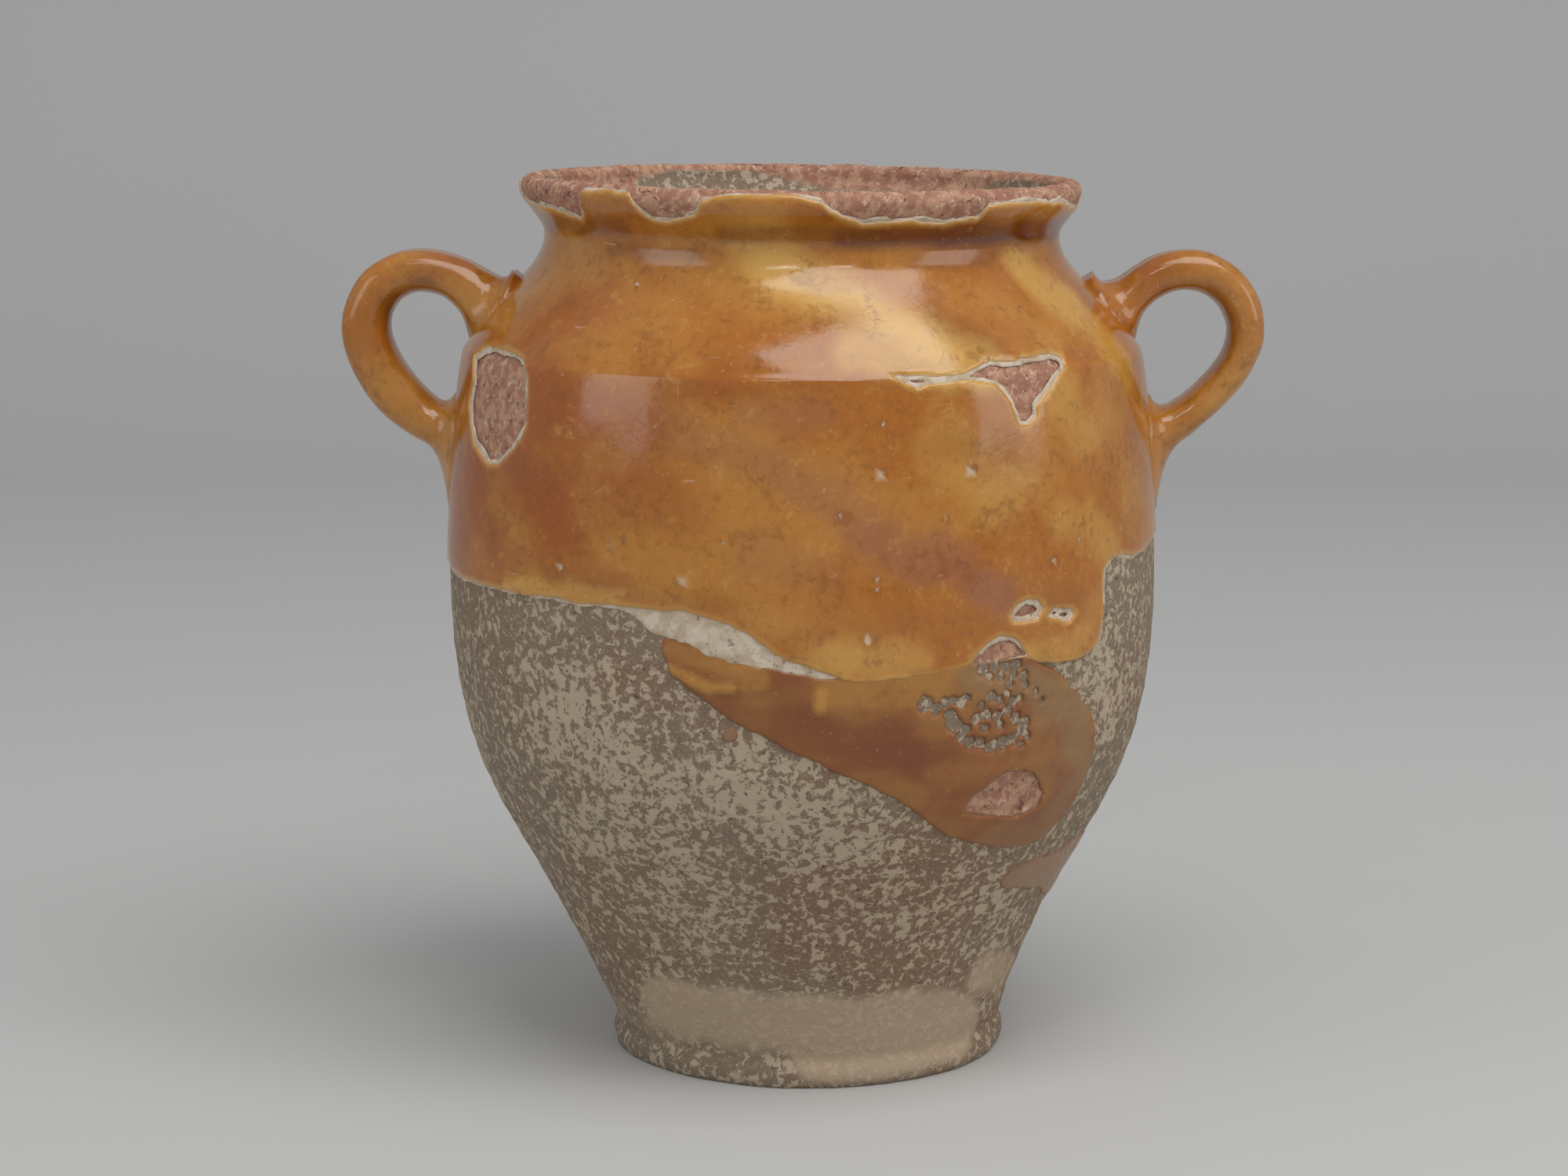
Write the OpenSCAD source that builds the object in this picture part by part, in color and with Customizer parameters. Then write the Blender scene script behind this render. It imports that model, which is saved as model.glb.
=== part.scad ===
// Confit pot: a thrown earthenware jar with two pulled ear handles. White slip and amber glaze
// cover its upper half, and one brown run of glaze crosses the bare clay below.
// The origin is the middle of the foot, and the side with the run faces -Y.
// A place on the wall is [angle, height]: degrees round from -Y, positive towards +X, and mm up.

/* [Jar] */
// Height of the jar over its lip
jar_height = 260; // [230:1:290]
// How far the narrowest part of the neck lies below the top of the lip
neck_drop = 17; // [14:0.5:21]
// How far the shoulder ridge lies below the narrowest part of the neck
ridge_drop = 34; // [30:0.5:40]
// Height of the widest part of the belly
belly_height = 147; // [135:1:158]
// Outer radius of the belly where it is widest
belly_radius = 104.3; // [95:0.1:115]
// How far the shoulder ridge lies inside the belly's widest part
ridge_inset = 5.6; // [3:0.1:9]
// How far the ridge stands out over the shoulder
ridge_step = 0.9; // [0.3:0.1:2]
// How far the neck lies inside the ridge
neck_inset = 24.2; // [20:0.1:29]
// How far the lip stands out over the neck
lip_overhang = 7.5; // [5:0.1:10]
// Thickness of the rolled lip
lip_thickness = 6.8; // [5.6:0.1:8.4]
// Radius of the flat face that the jar rests on
foot_radius = 57; // [50:0.5:62]
// Height of the middle of the rounded bead on the foot
bead_height = 4; // [3:0.5:5.5]
// How far the bead stands out past the rest face
bead_bulge = 1.6; // [0.8:0.1:3]
// Height of the groove over the bead
groove_height = 8.5; // [7:0.5:12]
// Depth of the groove behind the bead
groove_depth = 1.3; // [0.5:0.1:2.5]
// Thickness of the wall
wall_thickness = 6.5; // [5:0.1:8]
// Thickness of the floor
floor_thickness = 10; // [7:0.5:13]
// How far the corner between floor and wall is rounded inside
floor_corner = 9; // [6:0.5:14]

/* [Handles] */
// How far a handle stands out past the belly
handle_stand_out = 30.5; // [26:0.5:38]
// How far over the ridge a handle reaches out farthest
handle_out_rise = 6; // [2:0.5:10]
// Height of a handle's root on the shoulder over the ridge
upper_root_rise = 9.5; // [7:0.5:12]
// How far a handle's root on the belly lies below the ridge
lower_root_drop = 27; // [22:1:34]
// Thickness of the strap, measured in the plane of its loop
strap_thickness = 13.5; // [11:0.5:16]
// Width of the strap, measured across its loop
strap_width = 20; // [15:0.5:26]
// Greatest thickness of the wad of clay round a root
luting_thickness = 4.5; // [3:0.5:6]

/* [Coats] */
// How far below the top of the lip the jar was dipped
dip_depth = 113; // [95:1:130]
// Thickness of the white slip
slip_thickness = 0.3; // [0.2:0.05:0.5]
// Thickness of the outer glaze
glaze_thickness = 0.6; // [0.4:0.05:1]
// Thickness of the glaze inside the jar
inner_glaze_thickness = 0.5; // [0.3:0.05:0.8]
// How far below the top of the lip the glaze inside stops
inner_glaze_drop = 10; // [8:0.5:14]
// Thickness of the brown glaze run
run_thickness = 0.9; // [0.5:0.05:1.5]
// Thickness of the small splash
splash_thickness = 0.5; // [0.3:0.05:0.8]
// How far the slip shows below the glaze
slip_show = 0.6; // [0.3:0.1:1.5]
// Angle up the lip's curve where slip and glaze end
lip_cover_angle = 30; // [10:5:50]

/* [Hidden] */

// Sides of the turned pieces when they are drawn as a mesh
turned_sides = 120;
// Straight steps in each curve of the wall, the foot and the lip
wall_steps = 10;
foot_steps = 4;
lip_steps = 8;
// Rings along each half of a handle, sides of its section, and rings that a luting covers
strap_steps = 11;
strap_sides = 14;
luting_rings = 4;
// How square the strap's section is: 2 is an ellipse, and more is squarer
strap_squareness = 2.6;
// How far a handle's line runs on into the wall, where the wall then cuts it off
root_depth = 12;
// Least thickness of a luting, at the end that thins out on the strap
luting_edge = 0.5;
// Distance past everything, for cutting solids
far = 2 * belly_radius;

// How long and how leaning the wall's curves leave their ends: length in mm, lean from upright
foot_pull_out = 1;
foot_pull_up = 0.4;
bead_pull = 2;
groove_pull = 1.7;
lower_wall_lean = 21;
lower_wall_pull = 78;
belly_pull_down = 74;
belly_pull_up = 5;
ridge_lean = 18.5;
ridge_pull = 10;
ridge_round = 1.1;
shoulder_lean = 30;
shoulder_pull = 16;
neck_pull_down = 11.5;
neck_pull_up = 4.8;
lip_pull = 3.9;
inner_ridge_lean = 35;
inner_ridge_pull = 7;
inner_belly_pull = 25;

// How steeply and how far the strap's curves leave the wall, and their pull at the outermost point
upper_root_angle = 50;
upper_root_pull = 22;
lower_root_angle = 38;
lower_root_pull = 14;
outer_pull_up = 22;
outer_pull_down = 10;

// Outlines on the coats, as places of [degrees, mm over the line that the jar was dipped to]
// Lower edge of the glaze on the side with the run, from left to right
glaze_line = [[-90, 0], [-61, -1], [-36, -0.4], [-18, -0.4], [-11, -3.5], [-7, -7], [-2, -13.5],
    [3, -15.5], [6, -19.6], [20, -20], [38, -17], [46, -19], [51, -18], [53.5, -13], [53, -1], [54, 6],
    [57, 8.5], [64, 6.5], [77, 9], [90, 8]];
// Lower edge of the glaze on the far side, carried on round
far_glaze_line = [[90, 8], [110, 4], [135, 1.5], [160, 4], [180, 5], [205, 1], [230, -1.5], [250, 1],
    [270, 0]];
// Lower edge of the bare white slip between the glaze and the run
slip_patch = [[-27, -1], [-24.5, -5.5], [-21, -8.5], [-14, -13], [-9, -15], [-4, -18], [4, -20.5],
    [6, -19.6], [20, -20], [38, -17]];
// Outline of the brown run, whose top is then cut off along the slip's edge
run_outline = [[-22, -12], [-20, -6], [0, -12], [40, -14], [49, -30], [53.5, -37], [56, -45], [56, -54],
    [54, -67], [50, -71], [44, -73], [36, -71.5], [26, -66], [18, -57], [11, -49], [3, -42], [-4, -36],
    [-10, -31], [-15, -25], [-20.5, -17]];
// Outline of the small splash on the right
splash_outline = [[42, -84], [52, -79.5], [66, -78.5], [84, -81], [88, -93], [76, -99], [62, -93],
    [50, -89]];

// Outlines of the chips, as places of [degrees, mm over the shoulder ridge]
// The large chip beside the left handle
side_chip = [[-70, 0], [-66, 2.5], [-56, 2], [-51, -1], [-50, -10], [-49, -17], [-51.5, -23],
    [-58, -28], [-65, -25.5], [-69, -20], [-68.5, -12]];
// The chip that hangs from the ridge
ridge_chip = [[13, 0.5], [23, 0.5], [31, 4.5], [37, 3], [43, 4.5], [48, 1.5], [44.5, -2], [40.5, -7],
    [38.5, -14], [35, -13.5], [34.5, -6], [31, -1.5], [23, -1.5]];
// How much of each chip's width shows clay, inside its border of slip
chip_clay_share = 0.84;
// Worn places on the lip: from angle, to angle, and how far below the lip's top the glaze is gone
lip_wear = [[-71, -48, 9.5], [-34, -20, 7.2], [4, 39, 7.2], [62, 88, 6.5], [112, 148, 7],
    [196, 232, 8], [255, 272, 6.5]];
// How much the ends of a worn place lean in, in degrees, and how much shallower they are, in mm
wear_lean = 3;
wear_rise = 2;

function reversed(list) = [for (i = [len(list) - 1:-1:0]) list[i]];
function without_first(list) = [for (i = [1:len(list) - 1]) list[i]];
function without_last(list) = [for (i = [0:len(list) - 2]) list[i]];

// The middle of the box round some points
function middle(list) = [for (axis = [0, 1]) let (values = [for (p = list) p[axis]])
    (min(values) + max(values)) / 2];

// A vector of a given length that leans away from upright
function leaning(lean, length) = length * [sin(lean), cos(lean)];

// Points along the cubic curve with these two ends and two pulls
function curve(ends, steps) = [for (i = [0:steps]) let (t = i / steps)
    pow(1 - t, 3) * ends[0] + 3 * t * pow(1 - t, 2) * ends[1]
    + 3 * t * t * (1 - t) * ends[2] + pow(t, 3) * ends[3]];

// Unit vector square to a line of points at point i, to the left of the way it runs
function left_of(line, i) = let (
    ahead = line[min(i + 1, len(line) - 1)] - line[max(i - 1, 0)])
    [-ahead[1], ahead[0]] / norm(ahead);

// The line moved sideways, to the right of the way it runs
function moved_right(line, distance) =
    [for (i = [0:len(line) - 1]) line[i] - distance * left_of(line, i)];

// Heights and radii that follow from the sizes
neck_height = jar_height - neck_drop;
ridge_height = neck_height - ridge_drop;
dip_height = jar_height - dip_depth;
ridge_radius = belly_radius - ridge_inset;
neck_radius = ridge_radius - neck_inset;
lip_radius = neck_radius + lip_overhang;
bead_radius = foot_radius + bead_bulge;
groove_radius = bead_radius - groove_depth;

// Key points of the wall's section as [radius, height]
bead_point = [bead_radius, bead_height];
groove_point = [groove_radius, groove_height];
belly_point = [belly_radius, belly_height];
ridge_point = [ridge_radius, ridge_height];
shoulder_point = ridge_point + [-ridge_step, ridge_round];
neck_point = [neck_radius, neck_height];
lip_middle = [lip_radius - lip_thickness / 2, jar_height - lip_thickness / 2];
lip_outside = lip_middle + [lip_thickness / 2, 0];
lip_inside = lip_middle - [lip_thickness / 2, 0];
inner_neck_point = neck_point - [wall_thickness, 0];
inner_ridge_point = ridge_point - [wall_thickness, wall_thickness / 2];
inner_belly_point = belly_point - [wall_thickness, 0];

bead_curve = concat(
    curve([[foot_radius, 0], [foot_radius + foot_pull_out, foot_pull_up],
        bead_point - [0, bead_pull], bead_point], foot_steps),
    without_first(curve([bead_point, bead_point + [0, bead_pull],
        groove_point - [0, groove_pull], groove_point], foot_steps)));
lower_wall = curve([groove_point, groove_point + leaning(lower_wall_lean, lower_wall_pull),
    belly_point - [0, belly_pull_down], belly_point], wall_steps);
upper_wall = curve([belly_point, belly_point + [0, belly_pull_up],
    ridge_point - leaning(-ridge_lean, ridge_pull), ridge_point], wall_steps);
shoulder = curve([shoulder_point, shoulder_point + leaning(-shoulder_lean, shoulder_pull),
    neck_point - [0, neck_pull_down], neck_point], wall_steps);
neck = curve([neck_point, neck_point + [0, neck_pull_up], lip_outside - [0, lip_pull], lip_outside],
    foot_steps + 2);

// The outside of the jar from the rest face to the lip's widest point
outside = concat(bead_curve, without_first(lower_wall), without_first(upper_wall), shoulder,
    without_first(neck));
// The wall's outer radius at a height
heights_and_radii = [for (p = outside) [p[1], p[0]]];
function wall_radius(height) = lookup(height, heights_and_radii);

function lip_arc(from_angle, to_angle) = [for (i = [0:lip_steps])
    let (angle = from_angle + (to_angle - from_angle) * i / lip_steps)
    lip_middle + lip_thickness / 2 * [cos(angle), sin(angle)]];

inner_lip = curve([lip_inside, lip_inside - [0, lip_pull], inner_neck_point + [0, neck_pull_up],
    inner_neck_point], foot_steps + 2);
inner_shoulder = curve([inner_neck_point, inner_neck_point - [0, neck_pull_down],
    inner_ridge_point + leaning(-inner_ridge_lean, inner_ridge_pull), inner_ridge_point], wall_steps);
inner_upper_wall = curve([inner_ridge_point,
    inner_ridge_point - leaning(-inner_ridge_lean, inner_ridge_pull),
    inner_belly_point + [0, inner_belly_pull], inner_belly_point], wall_steps);
inner_lower_wall = reversed([for (p = moved_right(lower_wall, -wall_thickness))
    if (p[1] > floor_thickness + floor_corner / 2) p]);
floor_edge = inner_lower_wall[len(inner_lower_wall) - 1];
floor_turn = [floor_edge[0] - (floor_edge[1] - floor_thickness) * tan(lower_wall_lean), floor_thickness];
floor_curve = curve([floor_edge, floor_turn, floor_turn, floor_turn - [floor_corner, 0]], foot_steps);

// The inside of the jar from the lip down to the middle of the floor
inside = concat(inner_lip, without_first(inner_shoulder), without_first(inner_upper_wall),
    without_first(inner_lower_wall), without_first(floor_curve), [[0, floor_thickness]]);

// The line that the outer coats follow, from the lower wall over the side of the lip
coat_line = concat([for (p = outside) if (p[1] > groove_height) p],
    without_first(lip_arc(0, lip_cover_angle)));

// A turned solid of the jar's outside, filled to its axis, for cutting what meets the wall
module jar_block() {
    rotate_extrude($fn = turned_sides)
        polygon(concat([[0, 0]], outside, [[0, lip_outside[1]]]));
}

// A turned shell over the outside, between two distances from the clay
module outer_shell(from_distance, to_distance) {
    rotate_extrude($fn = turned_sides)
        polygon(concat(moved_right(coat_line, to_distance),
            reversed(moved_right(coat_line, from_distance))));
}

// A prism that stands square on the wall over an outline of [angle, height] places
module over_wall(outline, middle_angle) {
    rotate([0, 0, middle_angle])
        rotate([90, 0, 0])
            linear_extrude(height = far)
                polygon([for (p = outline) [wall_radius(p[1]) * sin(p[0] - middle_angle), p[1]]]);
}

// Everything below an edge that runs round one half of the jar
module below_line(line, middle_angle) {
    points = [for (p = line) [wall_radius(p[1]) * sin(p[0] - middle_angle), p[1]]];
    rotate([0, 0, middle_angle])
        rotate([90, 0, 0])
            linear_extrude(height = far)
                polygon(concat([[-far, 0], [-far, line[0][1]]], points,
                    [[far, line[len(line) - 1][1]], [far, 0]]));
}

// An outline of [angle, mm] places, lifted to the height that its mm are counted from
function lifted(outline, rise) = [for (p = outline) [p[0], p[1] + rise]];
glaze_edge = lifted(glaze_line, dip_height);
far_glaze_edge = lifted(far_glaze_line, dip_height);

// The slip's edge follows the glaze's edge, a little lower, except at the bare patch and the run
slip_edge = concat(
    [for (p = lifted(glaze_edge, -slip_show)) if (p[0] < slip_patch[0][0]) p],
    lifted(slip_patch, dip_height),
    [for (p = lifted(glaze_edge, -slip_show)) if (p[0] > slip_patch[len(slip_patch) - 1][0]) p]);

// An outline drawn in towards its middle
function drawn_in(outline, share) = let (centre = middle(outline))
    [for (p = outline) centre + share * (p - centre)];

module chip(outline) {
    over_wall(lifted(outline, ridge_height), middle(outline)[0]);
}

// The worn places of the lip, as prisms from the height of the wear to past the crest
module lip_wear_cuts() {
    top = jar_height + lip_thickness;
    for (wear = lip_wear) {
        bottom = jar_height - wear[2];
        outline = [[wear[0], top], [wear[0], bottom + wear_rise], [wear[0] + wear_lean, bottom],
            [wear[1] - wear_lean, bottom], [wear[1], bottom + wear_rise], [wear[1], top]];
        over_wall(outline, (wear[0] + wear[1]) / 2);
    }
}

// Middle line of the right handle's strap as [distance from the axis, height]
upper_root_height = ridge_height + upper_root_rise;
lower_root_height = ridge_height - lower_root_drop;
outer_point = [belly_radius + handle_stand_out - strap_thickness / 2, ridge_height + handle_out_rise];
upper_root = [wall_radius(upper_root_height), upper_root_height];
lower_root = [wall_radius(lower_root_height), lower_root_height];
upper_way = [cos(upper_root_angle), sin(upper_root_angle)];
lower_way = [cos(lower_root_angle), sin(lower_root_angle)];
strap_line = concat(
    [upper_root - root_depth * upper_way],
    curve([upper_root, upper_root + upper_root_pull * upper_way, outer_point + [0, outer_pull_up],
        outer_point], strap_steps),
    without_first(curve([outer_point, outer_point - [0, outer_pull_down],
        lower_root + lower_root_pull * lower_way, lower_root], strap_steps)),
    [lower_root - root_depth * lower_way]);
last_ring = len(strap_line) - 1;

// How much the lutings add to the strap at a ring, counting from the nearer root
function luting_at(ring) = let (from_root = max(0, min(ring, last_ring - ring) - 1),
    share = 1 - from_root / (luting_rings - 1))
    share < 0 ? 0 : luting_edge + (luting_thickness - luting_edge) * share * share;

function squared(value) = sign(value) * pow(abs(value), 2 / strap_squareness);

// One ring of points round the strap, grown by a distance
function strap_ring(ring, grow) = [for (side = [0:strap_sides - 1])
    let (angle = 360 * side / strap_sides, outward = left_of(strap_line, ring),
        up = (strap_thickness / 2 + grow) * squared(cos(angle)),
        across = (strap_width / 2 + grow) * squared(sin(angle)))
    [strap_line[ring][0] + outward[0] * up, across, strap_line[ring][1] + outward[1] * up]];

// The two triangles of every face in a tube of rings whose points start at first, facing out or inward
function tube_faces(first, rings, inward) = [for (ring = [0:rings - 2], side = [0:strap_sides - 1])
    let (next = (side + 1) % strap_sides, a = first + ring * strap_sides + side,
        b = first + ring * strap_sides + next, c = b + strap_sides, d = a + strap_sides)
    each inward ? [[a, c, b], [a, d, c]] : [[a, b, c], [a, c, d]]];

// The strap as one closed solid, grown by the lutings and a further distance
module strap_solid(first_ring, final_ring, with_luting, grow) {
    rings = final_ring - first_ring + 1;
    points = [for (ring = [first_ring:final_ring])
        each strap_ring(ring, grow + (with_luting ? luting_at(ring) : 0))];
    start_cap = [for (side = [strap_sides - 1:-1:0]) side];
    end_cap = [for (side = [0:strap_sides - 1]) (rings - 1) * strap_sides + side];
    polyhedron(points, concat([start_cap, end_cap], tube_faces(0, rings, false)), convexity = 6);
}

// A sleeve round the strap between two distances, each with or without the lutings
module strap_sleeve(first_ring, final_ring, from_luting, from_grow, to_grow) {
    rings = final_ring - first_ring + 1;
    count = rings * strap_sides;
    inner = [for (ring = [first_ring:final_ring])
        each strap_ring(ring, from_grow + (from_luting ? luting_at(ring) : 0))];
    outer = [for (ring = [first_ring:final_ring]) each strap_ring(ring, to_grow + luting_at(ring))];
    ends = [for (side = [0:strap_sides - 1])
        let (next = (side + 1) % strap_sides, last = (rings - 1) * strap_sides)
        each [[side, count + next, next], [side, count + side, count + next],
            [last + next, count + last + side, last + side],
            [last + next, count + last + next, count + last + side]]];
    polyhedron(concat(inner, outer),
        concat(ends, tube_faces(0, rings, true), tube_faces(count, rings, false)), convexity = 8);
}

// The right side's pieces are drawn as they are, and the left side's are their mirror image
module on_side(side) {
    if (side == "left")
        mirror([1, 0, 0]) children();
    else
        children();
}

module handle(side) {
    color("sienna")
        difference() {
            on_side(side) strap_solid(0, last_ring, false, 0);
            jar_block();
        }
}

module upper_luting(side) {
    color("rosybrown")
        difference() {
            on_side(side) strap_sleeve(0, luting_rings, false, 0, 0);
            jar_block();
        }
}

module lower_luting(side) {
    color("rosybrown")
        difference() {
            on_side(side) strap_sleeve(last_ring - luting_rings, last_ring, false, 0, 0);
            jar_block();
        }
}

module handle_slip(side) {
    color("linen")
        difference() {
            on_side(side) strap_sleeve(0, last_ring, true, 0, slip_thickness);
            jar_block();
        }
}

module handle_glaze(side) {
    color("darkgoldenrod")
        difference() {
            on_side(side)
                strap_sleeve(0, last_ring, true, slip_thickness, slip_thickness + glaze_thickness);
            jar_block();
        }
}

// The roots of both handles with everything that coats them
module coated_roots() {
    grow = slip_thickness + glaze_thickness;
    for (side = ["left", "right"])
        on_side(side) {
            strap_solid(0, luting_rings + 1, true, grow);
            strap_solid(last_ring - luting_rings - 1, last_ring, true, grow);
        }
}

module thrown_jar() {
    color("rosybrown")
        rotate_extrude($fn = turned_sides)
            polygon(concat([[0, 0]], outside, without_first(without_last(lip_arc(0, 180))), inside));
}

module white_slip() {
    color("linen")
        difference() {
            outer_shell(0, slip_thickness);
            below_line(slip_edge, 0);
            below_line(lifted(far_glaze_edge, -slip_show), 180);
            coated_roots();
            chip(drawn_in(side_chip, chip_clay_share));
            chip(drawn_in(ridge_chip, chip_clay_share));
            lip_wear_cuts();
        }
}

module outer_glaze() {
    color("darkgoldenrod")
        difference() {
            outer_shell(slip_thickness, slip_thickness + glaze_thickness);
            below_line(glaze_edge, 0);
            below_line(far_glaze_edge, 180);
            coated_roots();
            chip(side_chip);
            chip(ridge_chip);
            lip_wear_cuts();
        }
}

module inner_glaze() {
    clay_line = [for (p = inside) if (p[1] < jar_height - inner_glaze_drop) p];
    glazed_line = [for (p = moved_right(clay_line, inner_glaze_thickness)) [max(0, p[0]), p[1]]];
    color("goldenrod")
        rotate_extrude($fn = turned_sides)
            polygon(concat(clay_line, reversed(glazed_line)));
}

module glaze_run() {
    color("sienna")
        intersection() {
            outer_shell(0, run_thickness);
            over_wall(lifted(run_outline, dip_height), 0);
            below_line(slip_edge, 0);
        }
}

module side_splash() {
    color("sienna")
        intersection() {
            outer_shell(0, splash_thickness);
            over_wall(lifted(splash_outline, dip_height), middle(splash_outline)[0]);
        }
}

thrown_jar();
handle("left");  // left_handle
handle("right");  // right_handle
upper_luting("left");  // left_upper_luting
lower_luting("left");  // left_lower_luting
upper_luting("right");  // right_upper_luting
lower_luting("right");  // right_lower_luting
white_slip();
handle_slip("left");  // left_handle_slip
handle_slip("right");  // right_handle_slip
outer_glaze();
handle_glaze("left");  // left_handle_glaze
handle_glaze("right");  // right_handle_glaze
inner_glaze();
glaze_run();
side_splash();
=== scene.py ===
import math

import bmesh
import bpy
import numpy as np
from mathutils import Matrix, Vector


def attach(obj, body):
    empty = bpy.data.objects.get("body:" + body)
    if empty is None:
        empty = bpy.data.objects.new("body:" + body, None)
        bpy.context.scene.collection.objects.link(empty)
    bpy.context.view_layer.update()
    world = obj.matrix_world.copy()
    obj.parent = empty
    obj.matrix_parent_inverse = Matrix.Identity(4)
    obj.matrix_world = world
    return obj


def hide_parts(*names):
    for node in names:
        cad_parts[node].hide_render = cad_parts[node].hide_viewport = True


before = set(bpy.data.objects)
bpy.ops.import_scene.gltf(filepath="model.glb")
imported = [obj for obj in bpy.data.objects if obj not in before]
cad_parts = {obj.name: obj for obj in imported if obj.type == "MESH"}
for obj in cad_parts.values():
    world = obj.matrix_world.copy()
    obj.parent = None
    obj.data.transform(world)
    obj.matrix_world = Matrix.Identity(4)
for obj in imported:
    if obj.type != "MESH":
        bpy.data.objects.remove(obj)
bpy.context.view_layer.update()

# The room. A pale floor curves up into a pale backdrop, soft lamps hang over and beside the pot,
# and the camera looks down a little on the side with the brown run of glaze.
mm = 0.001
scene = bpy.context.scene
scene.view_settings.view_transform = "Standard"

lens = bpy.data.cameras.new("camera")
lens.sensor_width = 36
lens.lens = 83.374
camera = bpy.data.objects.new("camera", lens)
camera.location = (0, -1067.1 * mm, 310.5 * mm)
camera.rotation_euler = (math.radians(90 - 9.245), 0, math.radians(0.2823))
scene.collection.objects.link(camera)
scene.camera = camera

daylight = 0.42
daylight_colour = (0.96, 0.98, 1.0, 1)
room_air = bpy.data.worlds.new("room_air")
room_air.use_nodes = True
room_air.node_tree.nodes["Background"].inputs["Color"].default_value = daylight_colour
room_air.node_tree.nodes["Background"].inputs["Strength"].default_value = daylight
scene.world = room_air


def hang_lamp(name, where, towards, size, power, colour=(1, 1, 1)):
    """A flat soft lamp that faces a point."""
    glow = bpy.data.lights.new(name, "AREA")
    glow.shape = "RECTANGLE"
    glow.size, glow.size_y = size
    glow.energy = power
    glow.color = colour
    lamp = bpy.data.objects.new(name, glow)
    lamp.location = where
    lamp.rotation_euler = (Vector(towards) - Vector(where)).to_track_quat("-Z", "Y").to_euler()
    scene.collection.objects.link(lamp)
    return lamp


hang_lamp("soft_box_above", (0.45, -0.75, 1.75), (0, 0, 0.12), (1.5, 1.1), 17, (1, 0.985, 0.96))
hang_lamp("soft_box_left", (-1.7, -0.9, 0.9), (0, 0, 0.12), (0.9, 1.2), 5, (0.97, 0.985, 1))
hang_lamp("soft_box_right", (1.8, -0.7, 0.8), (0, 0, 0.12), (0.9, 1.2), 6, (1, 0.99, 0.97))
hang_lamp("tube_left", (-0.25, -1.35, 1.35), (0, 0, 0.2), (0.30, 0.02), 0.9)
hang_lamp("tube_right", (0.42, -1.35, 1.35), (0, 0, 0.2), (0.30, 0.02), 0.9)


def add(tree, kind, inputs=None, **settings):
    """A node in a material, with what feeds each of its sockets."""
    made = tree.nodes.new(kind)
    for name, value in settings.items():
        setattr(made, name, value)
    for name, value in (inputs or {}).items():
        if isinstance(value, bpy.types.NodeSocket):
            tree.links.new(value, made.inputs[name])
        else:
            made.inputs[name].default_value = value
    return made


def new_material(name):
    material = bpy.data.materials.new(name)
    material.use_nodes = True
    return material, material.node_tree, material.node_tree.nodes["Principled BSDF"]


def colour_mix(tree, share, first, second, way="MIX"):
    mixed = add(tree, "ShaderNodeMix", {0: share, 6: first, 7: second}, data_type="RGBA", blend_type=way)
    return mixed.outputs[2]


def lay_backdrop():
    """The floor and the wall behind it, as one bent sheet."""
    bend = 0.8
    back = 1.3
    side = 3.0
    steps = 16
    sheet = bmesh.new()
    places = [(-side, -3.0, 0), (-side, back, 0)]
    for step in range(1, steps + 1):
        turn = math.pi / 2 * step / steps
        places.append((-side, back + bend * math.sin(turn), bend * (1 - math.cos(turn))))
    places.append((-side, back + bend, 3.4))
    corners = [sheet.verts.new(place) for place in places]
    line = [sheet.edges.new(pair) for pair in zip(corners, corners[1:])]
    pulled = bmesh.ops.extrude_edge_only(sheet, edges=line)
    moved = [v for v in pulled["geom"] if isinstance(v, bmesh.types.BMVert)]
    bmesh.ops.translate(sheet, vec=(2 * side, 0, 0), verts=moved)
    bmesh.ops.recalc_face_normals(sheet, faces=sheet.faces)
    if sheet.faces[0].normal.z < 0:
        bmesh.ops.reverse_faces(sheet, faces=sheet.faces)
    mesh = bpy.data.meshes.new("backdrop")
    sheet.to_mesh(mesh)
    sheet.free()
    for face in mesh.polygons:
        face.use_smooth = True
    backdrop = bpy.data.objects.new("backdrop", mesh)
    scene.collection.objects.link(backdrop)
    return backdrop


floor_colour = (0.575, 0.575, 0.565, 1)
floor_shade = (0.555, 0.558, 0.552, 1)
paper, tree, surface = new_material("backdrop_paper")
where = add(tree, "ShaderNodeTexCoord").outputs["Object"]
clouding = add(tree, "ShaderNodeTexNoise", {"Vector": where, "Scale": 3.0, "Detail": 3.0}).outputs["Fac"]
tree.links.new(colour_mix(tree, clouding, floor_shade, floor_colour), surface.inputs["Base Color"])
surface.inputs["Roughness"].default_value = 0.85
backdrop = lay_backdrop()
backdrop.data.materials.append(paper)


# The jar: coarse pinkish earthenware, thrown on a wheel in one piece, with a turned foot, a ridge on
# its shoulder and a rolled lip. Below the dip its clay is bare, and chips bare it higher up.
foot = np.array([57.0, 0.0])
bead = np.array([58.6, 4.0])
groove = np.array([57.3, 8.5])
belly = np.array([104.3, 147.0])
ridge = np.array([98.7, 209.0])
shoulder = np.array([97.8, 210.1])
neck = np.array([74.5, 243.0])
lip_centre = np.array([78.6, 256.6])
lip_round = 3.4
wall = 6.5
floor_height = 10.0
foot_offset = 2.0
rim_drop = 0.0125
jar_sides = 352
chip_depth = 0.45
chip_slope = 1.4
stands_on = 0.05
at_the_axis = 0.01


def curve(start, leave, arrive, end, steps):
    """Points along a cubic curve, from its two ends and how far it runs on from each."""
    t = np.linspace(0, 1, steps + 1)[:, None]
    return ((1 - t) ** 3 * start + 3 * t * (1 - t) ** 2 * (start + leave)
            + 3 * t * t * (1 - t) * (end + arrive) + t ** 3 * end)


def leaning(degrees, length):
    return length * np.array([math.sin(math.radians(degrees)), math.cos(math.radians(degrees))])


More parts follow.
